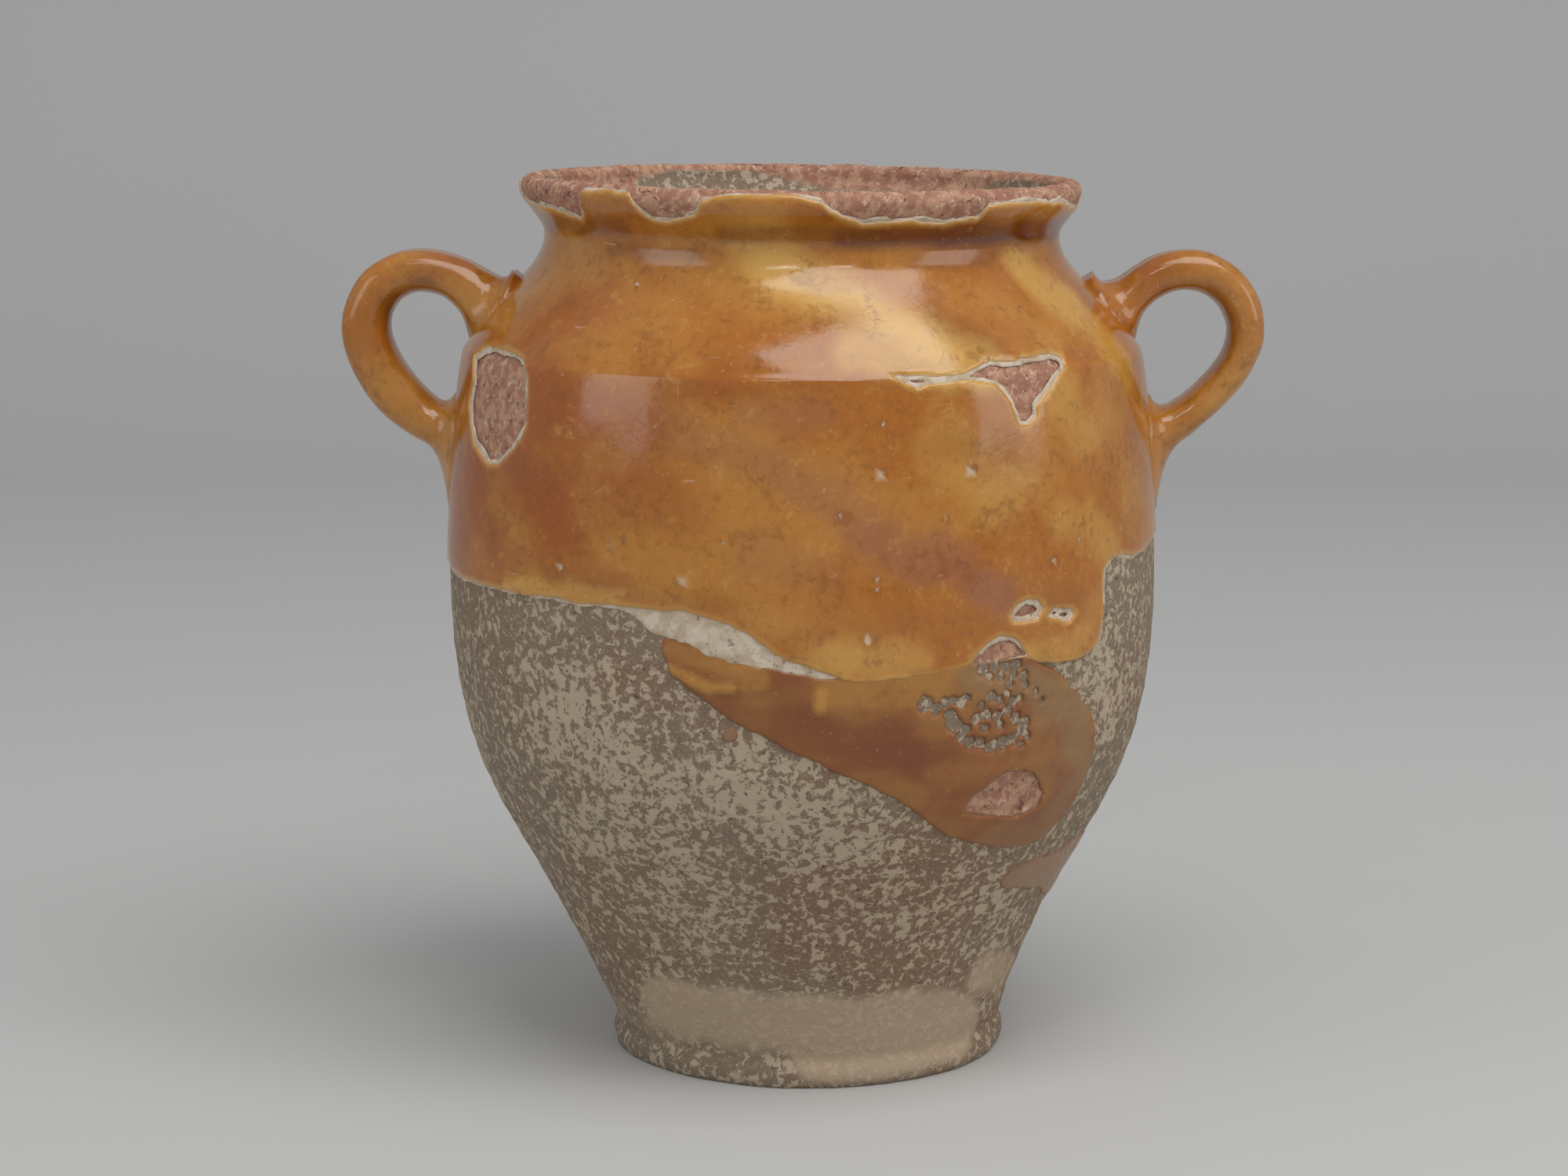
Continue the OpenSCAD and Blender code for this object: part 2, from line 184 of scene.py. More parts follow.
def joined(*stretches):
    """Stretches of a section put end to end, without their doubled points."""
    points = [stretches[0]]
    for stretch in stretches[1:]:
        same = np.hypot(*(stretch[0] - points[-1][-1])) < 1e-6
        points.append(stretch[1:] if same else stretch)
    return np.concatenate(points)


def lip_arc(start, end, steps):
    turn = np.radians(np.linspace(start, end, steps + 1))
    return lip_centre + lip_round * np.stack([np.cos(turn), np.sin(turn)], 1)


def outer_section(lower_steps, upper_steps, shoulder_steps):
    """The outside of the wall from the rest face to the widest part of the lip."""
    lip_side = lip_centre + [lip_round, 0]
    return joined(
        curve(foot, [1, 0.4], [0, -2], bead, 5),
        curve(bead, [0, 2], [0, -1.7], groove, 5),
        curve(groove, leaning(21, 78), [0, -74], belly, lower_steps),
        curve(belly, [0, 5], -leaning(-18.5, 10), ridge, upper_steps),
        curve(shoulder, leaning(-30, 16), [0, -11.5], neck, shoulder_steps),
        curve(neck, [0, 4.8], [0, -3.9], lip_side, 9))


def inner_section():
    """The inside of the wall from the lip down to the middle of the floor."""
    lip_back = lip_centre - [lip_round, 0]
    inner_neck = neck - [wall, 0]
    inner_ridge = ridge - [wall, wall / 2]
    inner_belly = belly - [wall, 0]
    floor_corner = np.array([49.5, floor_height + 1.5])
    return joined(
        curve(lip_back, [0, -3.9], [0, 4.8], inner_neck, 10),
        curve(inner_neck, [0, -11.5], leaning(-35, 7), inner_ridge, 8),
        curve(inner_ridge, -leaning(-35, 7), [0, 25], inner_belly, 12),
        curve(inner_belly, [0, -74], leaning(21, 62), floor_corner, 20),
        curve(floor_corner, [-1.5, -1.5], [5, 0], np.array([40.0, floor_height]), 4),
        np.array([[40.0, floor_height], [26.0, 10.4], [13.0, 9.8], [0.0, 10.3]]))


fine_wall = joined(outer_section(300, 200, 150), lip_arc(0, 90, 30))
wall_z = fine_wall[:, 1]
wall_r = fine_wall[:, 0]
along = np.gradient(fine_wall, axis=0)
along /= np.hypot(along[:, 0], along[:, 1])[:, None]


def cloud(points, size, seed=0):
    """A smooth random field from -1 to 1, whose lumps are about as large as size in mm."""
    scaled = points / size + 31.7 * seed
    cell = np.floor(scaled).astype(np.int64)
    part = scaled - cell
    part = part * part * (3 - 2 * part)
    total = np.zeros(len(points))
    for corner in np.ndindex(2, 2, 2):
        at = cell + corner
        mixed = (at[:, 0] * 73856093) ^ (at[:, 1] * 19349663) ^ (at[:, 2] * 83492791)
        mixed = ((mixed ^ (mixed >> 13)) * 1274126177) & 0x7FFFFFFF
        value = ((mixed ^ (mixed >> 15)) & 0xFFFF) / 32767.5 - 1
        total += value * np.prod(np.where(corner, part, 1 - part), axis=1)
    return total


def eased(value, low, high):
    t = np.clip((value - low) / (high - low), 0, 1)
    return t * t * (3 - 2 * t)


def on_wall(angle, z, height):
    """Points over the hand-made wall, in mm, from degrees round, mm up and mm above the clay."""
    turn = np.radians(angle)
    across = np.interp(z, wall_z, along[:, 1])
    rise = -np.interp(z, wall_z, along[:, 0])
    unround = 0.28 * np.sin(2 * turn + 0.7) + 0.16 * np.sin(3 * turn + z / 37)
    unround += 0.10 * np.sin(5 * turn + z / 19 + 1) + 0.05 * np.sin(11 * turn - z / 9)
    rings = 0.10 * np.sin(z / 1.9 + 0.6 * np.sin(turn)) + 0.07 * np.sin(z / 0.83 + turn)
    rings = rings * eased(z, 12, 20) * (1 - eased(z, 110, 150))
    radius = np.interp(z, wall_z, wall_r) + unround * eased(z, 4, 30) + rings + across * height
    up = z + rise * height
    x = radius * np.sin(turn) + foot_offset * np.interp(z, [10, 20, 30, 45], [1, 0.5, 0.35, 0])
    y = -radius * np.cos(turn)
    up = up - rim_drop * (x + 82) * eased(z, 222, 262)
    return np.stack([x, y, up], 1)


def on_true_wall(angle, z):
    """The same places on a perfectly turned wall."""
    radius = np.interp(z, wall_z, wall_r)
    turn = np.radians(angle)
    return np.stack([radius * np.sin(turn), -radius * np.cos(turn), z], 1)


def flat_map(angle, z):
    """The wall rolled out flat, in mm."""
    return np.radians(angle) * np.interp(z, wall_z, wall_r), z


def inside_gap(outline, angle, z):
    """How far each place lies inside an outline of [degrees, mm up], in mm. Outside it is negative."""
    u, v = flat_map(angle, z)
    corners = np.array(outline, float)
    cu, cv = flat_map(corners[:, 0], corners[:, 1])
    inside = np.zeros(len(u), bool)
    nearest = np.full(len(u), 1e9)
    for i in range(len(cu)):
        du, dv = cu[i - 1] - cu[i], cv[i - 1] - cv[i]
        share = np.clip(((u - cu[i]) * du + (v - cv[i]) * dv) / (du * du + dv * dv), 0, 1)
        nearest = np.minimum(nearest, np.hypot(u - cu[i] - share * du, v - cv[i] - share * dv))
        crosses = (cv[i] > v) != (cv[i - 1] > v)
        inside ^= crosses & (u < cu[i] + du * (v - cv[i]) / (dv if abs(dv) > 1e-9 else 1e-9))
    return np.where(inside, nearest, -nearest)


def brushed(strokes, angle, z):
    """How strongly strokes of [degrees, mm, degrees, mm, width, strength] cover each place."""
    u, v = flat_map(angle, z)
    cover = np.zeros(len(u))
    for angle_a, z_a, angle_b, z_b, width, strength in strokes:
        ends_u, ends_v = flat_map(np.array([angle_a, angle_b]), np.array([z_a, z_b], float))
        du, dv = ends_u[1] - ends_u[0], ends_v[1] - ends_v[0]
        share = np.clip(((u - ends_u[0]) * du + (v - ends_v[0]) * dv) / (du * du + dv * dv + 1e-9), 0, 1)
        gap = np.hypot(u - ends_u[0] - share * du, v - ends_v[0] - share * dv)
        cover = np.maximum(cover, strength * (1 - eased(gap, 0.25 * width, width)))
    return cover


# Chips through glaze and slip, as places of [degrees, mm up]
side_chip = [[-70.5, 209], [-68, 211.5], [-64, 212.3], [-59, 212], [-55, 211.6], [-52, 210], [-49.6, 206],
             [-49, 200], [-48.6, 194], [-50, 189.5], [-52.5, 185.5], [-56, 181.5], [-59, 181], [-62, 182.8],
             [-65.5, 185.5], [-67.5, 190], [-69, 196], [-68.3, 203]]
ridge_chip = [[14.5, 209.7], [17, 209.9], [21, 209.2], [26, 209.4], [29, 211], [32, 212.6], [35, 212],
              [38.4, 212.4], [41, 212.6], [45, 213.2], [47.3, 211.8], [47.1, 209.8], [44.6, 207.2],
              [42.9, 204.8], [40.6, 202.6], [39.2, 200.2], [38.9, 197.6], [37.3, 195.2], [35.6, 195.6],
              [35.1, 198.6], [34.4, 201.6], [33.2, 204.6], [31.6, 207], [27, 208.2], [21.5, 207.9],
              [18, 207], [16.6, 207.6]]
low_chip = [[33, 143.6], [34.2, 146], [36, 147.3], [38, 146.8], [39.2, 144.6], [38.2, 142], [35.6, 141.4],
            [33.6, 141.8]]
low_chip_right = [[40.2, 142], [41.6, 143.8], [43.4, 143.4], [45.2, 143.2], [46.2, 141.6], [44.6, 139.9],
                  [42, 141.2]]
half_moon = [[26.6, 131.6], [27.4, 134], [29.2, 136.6], [31, 137.9], [33.4, 137.6], [35, 135.4],
             [36.4, 131.8], [33, 131.7], [30, 131], [28, 131]]
oval_chip = [[27.6, 89.8], [28.8, 92.6], [31.4, 95.4], [34, 98.2], [37.6, 98.6], [40.4, 97], [42.4, 93.4],
             [44.2, 90], [44, 86.4], [41.6, 84.8], [38, 84.2], [34.6, 85.6], [30.6, 86.8], [28, 87.8]]
far_chip_high = [[146, 212], [158, 213], [166, 210.6], [163, 206], [154, 204.6], [147, 207.4]]
far_chip_low = [[-142, 171], [-137, 174], [-132, 171.6], [-134, 166], [-140, 165]]
glazed_chips = [side_chip, ridge_chip, low_chip, low_chip_right, half_moon, far_chip_high, far_chip_low]
all_chips = glazed_chips + [oval_chip]

# Height up to which the glaze still covers the lip, by degrees round
lip_edge = [[-180, 254], [-168, 257.5], [-150, 258], [-139, 256], [-133, 251.5], [-120, 250.6], [-112, 253],
            [-108, 257.4], [-96, 258.2], [-90, 257.4], [-84, 254.6], [-78, 252.4], [-70, 252], [-64, 252.6],
            [-58, 251.4], [-52.4, 249.6], [-50, 251.5], [-48.4, 257.6], [-42, 258.2], [-35.5, 257.8],
            [-34, 254], [-31, 250.9], [-27.5, 250.6], [-24, 251.8], [-21, 253.4], [-19.2, 257], [-14, 258.4],
            [-6, 258.6], [1, 258], [3.6, 257], [5.4, 254.4], [9, 252.4], [12, 251.2], [17, 251.8],
            [22, 251.8], [26, 251.2], [29.5, 250.8], [33, 251.8], [37, 252.2], [38.8, 255.6], [44, 256.4],
            [50, 256.2], [57, 255.8], [63, 255.4], [68, 254.2], [74, 253], [82, 252.4], [92, 253.6],
            [101, 257.2], [118, 258], [129, 256.4], [134, 252.6], [150, 251.4], [160, 252.4], [170, 251.6],
            [180, 254]]
lip_angles, lip_heights = np.array(lip_edge, float).T


def chip_gap(chips, angle, z):
    """How far each place lies inside the nearest of some chips, in mm."""
    return np.max([inside_gap(chip, angle, z) for chip in chips], axis=0)


def set_values(mesh, name, values):
    """Stores one number for each corner point of a mesh, for its material to read."""
    layer = mesh.attributes.new(name, "FLOAT", "POINT")
    layer.data.foreach_set("value", np.asarray(values, np.float32))


def places_of(mesh):
    flat = np.zeros(3 * len(mesh.vertices), np.float32)
    mesh.vertices.foreach_get("co", flat)
    return flat.reshape(-1, 3).astype(float) / mm


def angles_of(points):
    return np.degrees(np.arctan2(points[:, 0], -points[:, 1]))


def settle(sheet, name):
    """Turns a mesh in mm into an object in metres, smooth all over."""
    bmesh.ops.scale(sheet, vec=(mm, mm, mm), verts=sheet.verts)
    mesh = bpy.data.meshes.new(name)
    sheet.to_mesh(mesh)
    sheet.free()
    mesh.shade_smooth()
    piece = bpy.data.objects.new(name, mesh)
    scene.collection.objects.link(piece)
    return piece


def throw_jar():
    """The clay body, spun from its section and then given its chips and its hand-made shape."""
    outside = outer_section(96, 13, 10)
    section = joined(np.array([[0.0, 0.0], [24.0, 0.0], [47.0, 0.0], [57.0, 0.0]]), outside,
                     lip_arc(0, 180, 15), inner_section())
    clay = bmesh.new()
    line = [clay.verts.new((0, -r, z)) for r, z in section]
    rows = [clay.edges.new(pair) for pair in zip(line, line[1:])]
    bmesh.ops.spin(clay, geom=line + rows, cent=(0, 0, 0), axis=(0, 0, 1), angle=2 * math.pi,
                   steps=jar_sides, use_merge=True)
    poles = [v for v in clay.verts if math.hypot(v.co.x, v.co.y) < at_the_axis]
    bmesh.ops.remove_doubles(clay, verts=poles, dist=0.02)
    bmesh.ops.recalc_face_normals(clay, faces=clay.faces)

    points = np.array([v.co for v in clay.verts])
    angle, z = angles_of(points), points[:, 2]
    outer = np.hypot(points[:, 0], points[:, 1]) > np.interp(z, wall_z, wall_r) - 1
    near_chip = outer & (chip_gap(all_chips, angle, z) > -1.8) & (z < 240)
    clay.verts.index_update()
    around = [e for e in clay.edges if near_chip[e.verts[0].index] and near_chip[e.verts[1].index]]
    bmesh.ops.subdivide_edges(clay, edges=around, cuts=2, use_grid_fill=True)
    clay.verts.index_update()

    points = np.array([v.co for v in clay.verts])
    radius = np.hypot(points[:, 0], points[:, 1])
    angle, z = angles_of(points), points[:, 2]
    nominal = np.interp(z, wall_z, wall_r)
    over = radius - nominal
    outer = (over > -1.0) & (z > stands_on)
    chips = chip_gap(all_chips, angle, z)
    chip_floor = 0.28 * cloud(points, 3.2, 3) + 0.12 * cloud(points, 1.3, 4)
    depth = np.where(outer, chip_depth * eased(chips, 0.0, chip_slope), 0)
    depth += np.where(outer & (chips > 0), chip_floor, 0)
    lip_gap = z - np.interp(angle, lip_angles, lip_heights)
    broken = eased(lip_gap, 0.0, 1.2) * eased(z, 246, 249)
    worn = broken * (0.22 + 0.26 * cloud(points, 4.5, 5) + 0.18 * cloud(points, 2.0, 6)
                     + 0.35 * np.maximum(0, cloud(points, 7, 7)))
    bare = (z < 160) & outer
    grit = np.where(bare, 0.07 * cloud(points, 2.6, 8) + 0.05 * cloud(points, 5.5, 9), 0)
    foot_wear = (1 - eased(z, 1.5, 9)) * outer * (0.35 * cloud(points, 7, 10) + 0.2 * cloud(points, 2.5, 11))
    height = -depth - worn + grit + foot_wear
    shaped = on_wall(angle, np.clip(z, 0, 260), 0)
    drift = shaped - on_true_wall(angle, z)
    under = z < stands_on
    drift[under, 2] = 0
    normals = np.array([v.normal for v in clay.verts])
    result = points + drift + normals * height[:, None]
    result[under, 2] = 0
    result[:, 2] = np.clip(result[:, 2], 0, None)
    for vert, place in zip(clay.verts, result):
        vert.co = place
    jar = settle(clay, "thrown_jar_body")
    fresh = np.maximum(eased(chips, 0.0, 0.5) * outer, eased(lip_gap, -0.2, 0.5) * eased(z, 246, 248.5))
    set_values(jar.data, "fresh", fresh)
    return jar, angle, z


jar, jar_angles, jar_heights = throw_jar()

# Where the bare clay is warm brown, where it is chalky, and where it is pale near the foot
warm_clay = [[5, 62, 22, 50, 34, 0.9], [22, 78, 30, 60, 20, 0.5], [-18, 122, -2, 98, 14, 0.5],
             [-30, 130, -15, 118, 12, 0.5], [160, 70, 175, 50, 34, 0.8]]
chalky_clay = [[-42, 118, -28, 96, 26, 0.9], [-12, 100, 6, 84, 22, 0.9], [52, 128, 60, 110, 16, 0.8],
               [8, 70, 24, 58, 14, 0.5], [-40, 80, -20, 60, 24, 0.6], [35, 62, 48, 52, 16, 0.5],
               [-160, 110, -130, 80, 40, 0.8], [110, 120, 140, 90, 40, 0.8], [-100, 120, -80, 90, 30, 0.7]]
pale_clay = [[-40, 22, 40, 18, 17, 0.8], [5, 12, 48, 14, 16, 1.0], [-80, 14, -40, 14, 10, 0.4],
             [52, 30, 66, 26, 14, 0.6], [110, 14, 170, 20, 18, 0.8], [-170, 16, -110, 14, 14, 0.6]]
set_values(jar.data, "warm", brushed(warm_clay, jar_angles, jar_heights))
set_values(jar.data, "chalky", brushed(chalky_clay, jar_angles, jar_heights))
set_values(jar.data, "pale", brushed(pale_clay, jar_angles, jar_heights))


def stored(tree, name):
    return add(tree, "ShaderNodeAttribute", attribute_name=name).outputs["Fac"]


def grain(tree, where, size, detail=2.0, rough=0.5, warp=0.0):
    """Noise whose lumps are about as large as size in mm."""
    made = add(tree, "ShaderNodeTexNoise", {"Vector": where, "Scale": 1000 / size, "Detail": detail,
                                            "Roughness": rough, "Distortion": warp})
    return made.outputs["Fac"]


def window(tree, value, low, high, to_low=0.0, to_high=1.0):
    """A number eased from one value to another between two limits."""
    made = add(tree, "ShaderNodeMapRange", {"Value": value, "From Min": low, "From Max": high,
                                            "To Min": to_low, "To Max": to_high},
               interpolation_type="SMOOTHSTEP")
    return made.outputs["Result"]


def sums(tree, way, first, second, third=None):
    inputs = {0: first, 1: second}
    if third is not None:
        inputs[2] = third
    return add(tree, "ShaderNodeMath", inputs, operation=way).outputs[0]


def bumped(tree, surface, height, distance, strength=1.0, under=None):
    inputs = {"Height": height, "Distance": distance * mm, "Strength": strength}
    if under is not None:
        inputs["Normal"] = under
    made = add(tree, "ShaderNodeBump", inputs)
    tree.links.new(made.outputs["Normal"], surface.inputs["Normal"])
    return made.outputs["Normal"]


def mix_fired_clay():
    """Bare earthenware: grey-brown outside with chalky flecks, pink where it broke or wore."""
    clay, tree, surface = new_material("fired_clay_body")
    where = add(tree, "ShaderNodeTexCoord").outputs["Object"]
    grey = (0.235, 0.180, 0.128, 1)
    brown = (0.240, 0.150, 0.098, 1)
    cream = (0.520, 0.420, 0.305, 1)
    pore = (0.095, 0.066, 0.047, 1)
    pale = (0.520, 0.395, 0.275, 1)
    broad = grain(tree, where, 34, 3, 0.5)
    warm = sums(tree, "ADD", window(tree, broad, 0.40, 0.66, 0, 0.6), stored(tree, "warm"))
    skin = colour_mix(tree, sums(tree, "MINIMUM", warm, 1.0), grey, brown)
    patches = grain(tree, where, 15, 3, 0.55)
    density = sums(tree, "MULTIPLY_ADD", stored(tree, "chalky"), 0.085, sums(tree, "MULTIPLY", patches, 0.16))
    flecks = grain(tree, where, 2.5, 4, 0.62, 0.5)
    flecked = window(tree, sums(tree, "ADD", flecks, density), 0.595, 0.665)
    skin = colour_mix(tree, sums(tree, "MULTIPLY", flecked, 0.85), skin, cream)
    dust = grain(tree, where, 0.9, 2, 0.6)
    skin = colour_mix(tree, window(tree, dust, 0.50, 0.72, 0, 0.35), skin, cream)
    pores = grain(tree, where, 1.7, 2, 0.5)
    pored = window(tree, pores, 0.335, 0.27, 0.0, 0.8)
    skin = colour_mix(tree, pored, skin, pore)
    foot_tone = window(tree, sums(tree, "MULTIPLY_ADD", grain(tree, where, 9, 3, 0.6), 0.7,
                                  stored(tree, "pale")), 0.55, 1.05, 0, 0.75)
    skin = colour_mix(tree, foot_tone, skin, pale)

    pink = (0.500, 0.290, 0.190, 1)
    rose = (0.360, 0.170, 0.115, 1)
    light = (0.660, 0.490, 0.380, 1)
    dark = (0.130, 0.065, 0.045, 1)
    lumps = grain(tree, where, 3.4, 4, 0.6, 0.4)
    broken = colour_mix(tree, window(tree, lumps, 0.42, 0.60), rose, pink)
    crumbs = grain(tree, where, 2.1, 4, 0.65, 0.8)
    broken = colour_mix(tree, window(tree, crumbs, 0.56, 0.66, 0, 0.75), broken, light)
    holes = grain(tree, where, 2.4, 3, 0.6, 0.6)
    broken = colour_mix(tree, window(tree, holes, 0.385, 0.32, 0.0, 0.85), broken, dark)
    colour = colour_mix(tree, stored(tree, "fresh"), skin, broken)
    tree.links.new(colour, surface.inputs["Base Color"])
    surface.inputs["Roughness"].default_value = 0.92
    surface.inputs["Specular IOR Level"].default_value = 0.25

    coarse = sums(tree, "MULTIPLY_ADD", grain(tree, where, 2.2, 5, 0.65), 1.0,
                  sums(tree, "MULTIPLY", grain(tree, where, 6.5, 3, 0.5), 0.8))
    relief = sums(tree, "ADD", coarse, sums(tree, "MULTIPLY", flecked, 0.18))
    bumped(tree, surface, relief, 0.55, 0.8)
    return clay


fired_clay = mix_fired_clay()
jar.data.materials.append(fired_clay)
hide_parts("thrown_jar")
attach(jar, "root")


# The two ear handles: straps pulled from a lump of the same clay, bent into a loop and pressed on at
# the shoulder and at the belly, where the wads of soft clay were smoothed down over the wall.
# Outer and inner edge of each strap from the shoulder round to the belly, as [mm from the axis, mm up]
right_outer = [[80, 223], [87, 227.2], [93, 229.8], [98, 233.2], [104.5, 236.5], [112, 238], [120, 237],
               [127.3, 232.8], [132.6, 226.5], [135.4, 219.5], [135.8, 212], [133.6, 205], [129.5, 197.8],
               [123.5, 191], [116.5, 184.8], [110.5, 180], [107, 174], [104.8, 166]]
right_inner = [[86, 200], [93, 207], [97.4, 213], [100, 218.6], [104.4, 223], [110.6, 225.6], [117, 224.7],
               [121.8, 221.4], [124.4, 217], [125, 212.4], [123.4, 206.9], [119.6, 201.6], [114.6, 196.6],
               [109.6, 193], [104.6, 190.6], [98, 188], [92, 184], [90, 178]]
left_outer = [[80, 224], [86.5, 228.6], [92.5, 232], [98.8, 235.2], [105.8, 237.3], [113, 238],
              [120.6, 236.6], [127.8, 232.3], [132.6, 226], [135.2, 218.6], [135.4, 211], [133.2, 203.6],
              [129, 195.6], [122.8, 188.4], [115.8, 183], [109.8, 179.4], [106.6, 174], [104.6, 166]]
left_inner = [[86, 200], [92, 206], [97, 212.6], [100.4, 219.2], [105.4, 223.6], [112, 225], [116.8, 223.4],
              [119.8, 220], [121, 215.6], [120.2, 210.8], [117.8, 205.6], [114, 200.4], [110.2, 196],
              [106.6, 192.8], [103, 190.6], [97, 188], [92, 184], [90, 178]]
strap_width = 20.0
coats = 0.9


def even(points, count):
    """A smooth line through some points, with evenly spaced places along it."""
    points = np.array(points, float)
    before = np.vstack([2 * points[0] - points[1], points[:-1]])
    after = np.vstack([points[1:], 2 * points[-1] - points[-2]])
    pull = (after - before) / 6
    pairs = zip(points, pull, pull[1:], points[1:])
    line = joined(*[curve(start, leave, -arrive, end, 12) for start, leave, arrive, end in pairs])
    return line[np.linspace(0, len(line) - 1, count).astype(int)]


def pull_strap(name, side, outer_edge, inner_edge, sink):
    """One strap, drawn section by section along its loop, thinner all round by sink."""
    rings = 110
    sides = 40
    outer_line, inner_line = even(outer_edge, rings), even(inner_edge, rings)
    middle = (outer_line + inner_line) / 2
    half = (outer_line - inner_line) / 2
    thick = np.hypot(half[:, 0], half[:, 1])
    outward = half / thick[:, None]
    strap = bmesh.new()
    turn = np.radians(np.arange(sides) * 360 / sides)
    square = 2.5
    up = np.sign(np.cos(turn)) * np.abs(np.cos(turn)) ** (2 / square)
    across = np.sign(np.sin(turn)) * np.abs(np.sin(turn)) ** (2 / square)
    ring = bmesh.ops.create_circle(strap, segments=sides, radius=1)["verts"]
    edges = list({e for v in ring for e in v.link_edges})
    for index in range(rings):
        if index:
            pulled = bmesh.ops.extrude_edge_only(strap, edges=edges)["geom"]
            edges = [e for e in pulled if isinstance(e, bmesh.types.BMEdge) and len(e.link_faces) == 1]
            ring_next = []
            for vert in ring:
                partner = [e.other_vert(vert) for e in vert.link_edges if e.other_vert(vert) in pulled]
                ring_next.append(partner[0])
            ring = ring_next
        end = min(index, rings - 1 - index) / (rings - 1)
        width = strap_width / 2 * (1 + 0.16 * math.exp(-(end / 0.16) ** 2)) - sink
        width *= 1 + 0.02 * math.sin(index / 7)
        depth = thick[index] - sink
        dip = 0.9 * np.exp(-((across * width) / 4.2) ** 2) * (up > 0)
        rib = 0.5 * np.exp(-((across * width + 5.8) / 1.3) ** 2) * (up > 0)
        reach = up * depth - dip + rib * 0.5
        x = middle[index, 0] + outward[index, 0] * reach
        z = middle[index, 1] + outward[index, 1] * reach
        for corner, vert in enumerate(ring):
            vert.co = (side * x[corner], across[corner] * width, z[corner])
    strap.verts.index_update()
    bmesh.ops.holes_fill(strap, edges=strap.edges, sides=sides)
    points = np.array([v.co for v in strap.verts])
    count = rings * sides
    rooted = points.copy()
    centre = np.repeat(middle, sides, axis=0)
    radius = np.hypot(points[:, 0], points[:, 1])
    wall_at = np.interp(points[:, 2], wall_z, wall_r) + coats - sink
    slope = np.interp(points[:, 2], wall_z, along[:, 1])
    clear = (radius - wall_at) * slope
    flare = 6.5
    widest_flare = 5.2
    lift = np.clip(clear / flare, 0, 1)
    spread = flare * (1 - np.sqrt(1 - (1 - lift) ** 2))
    spread = np.minimum(spread, widest_flare)
    from_middle = points - np.stack([side * centre[:, 0], np.zeros(count), centre[:, 1]], 1)
    outwards = np.stack([points[:, 0], points[:, 1], np.zeros(count)], 1) / radius[:, None]
    sideways = from_middle - (from_middle * outwards).sum(1)[:, None] * outwards
    length = np.maximum(np.linalg.norm(sideways, axis=1), 1e-6)
    rooted += sideways / length[:, None] * spread[:, None] * (clear > -6)[:, None]
    lumps = 0.22 * cloud(points, 9, 21) + 0.10 * cloud(points, 4, 22)
    rooted += from_middle / np.linalg.norm(from_middle, axis=1)[:, None] * lumps[:, None]
    for vert, place in zip(strap.verts, rooted):
        vert.co = place
    bmesh.ops.recalc_face_normals(strap, faces=strap.faces)
    return settle(strap, name)


left_strap = pull_strap("left_strap", -1, left_outer, left_inner, coats)
right_strap = pull_strap("right_strap", 1, right_outer, right_inner, coats)
left_nodes = ["left_handle", "left_upper_luting", "left_lower_luting"]
right_nodes = ["right_handle", "right_upper_luting", "right_lower_luting"]
for strap, nodes in ((left_strap, left_nodes), (right_strap, right_nodes)):
    for name in ("fresh", "warm", "chalky", "pale"):
        set_values(strap.data, name, np.full(len(strap.data.vertices), 1.0 if name == "fresh" else 0.0))
    strap.data.materials.append(fired_clay)
    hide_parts(*nodes)
    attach(strap, "root")


# The white slip: a thin coat of liquid pale clay that the pot was dipped in, upside down, before the
# glaze. It shows at the dip line, in one bare patch, round the chips and on the lip.
slip_thickness = 0.3
slip_sides = 250
thinnest = 0.01
dip_line = [[-180, 152], [-165, 150.6], [-150, 147.6], [-130, 145.4], [-110, 148], [-90, 147], [-78, 147.3],
            [-69, 145.6], [-61, 146.3], [-53, 146.2], [-47, 146.2], [-41, 147], [-36, 146.2], [-29, 146.9],
            [-22, 146.2], [-18, 146.6], [-14, 145], [-11, 143.6], [-7, 140], [-4, 136], [-2, 133.6],
            [1, 132], [4, 130.4], [6.2, 128.4], [8, 127.6], [13, 128], [18, 128.6], [24, 129.8],
            [27, 131.4], [36, 131.2], [39, 129.4], [43, 128], [47, 128.2], [50.4, 129.4], [52.6, 132.4],
            [53.6, 137], [53.8, 143], [53.4, 148], [54, 152.4], [56, 154.8], [59, 155.2], [64, 153.6],
            [69, 153.8], [77, 155.6], [90, 155], [110, 151], [135, 148.5], [160, 151], [180, 152]]
slip_line = [[-180, 151.4], [-150, 147], [-130, 144.8], [-110, 147.4], [-90, 146.4], [-69, 144.9],
             [-61, 145.6], [-41, 146.3], [-36, 145.5], [-29, 146], [-26.6, 145.2], [-24.5, 142],
             [-22.4, 139.4], [-20, 138.6], [-17.4, 137.4], [-14, 134.6], [-11.4, 132.6], [-8, 131.8],
             [-5.6, 130.2], [-3.4, 129.2], [0, 128.8], [2, 127.2], [4, 126.4], [5.6, 127.2], [8, 130],
             [20, 131],
             [27, 133], [36, 133], [40, 130], [46, 128.4], [50.8, 129], [53, 132], [54.2, 137], [54.3, 147],
             [54.8, 152], [57, 154.4], [64, 152.9], [69, 153.2], [77, 155], [90, 154.4], [110, 150.4],
             [135, 147.9], [160, 150.4], [180, 151.4]]


def round_loop(line, top):
    """The band between an edge that runs all round the jar and a height, as one outline."""
    line = [list(place) for place in line]
    before = [[angle - 360, z] for angle, z in line if 140 < angle < 180]
    after = [[angle + 360, z] for angle, z in line if -180 < angle < -140]
    return before + line + after + [[225, top], [-225, top]]


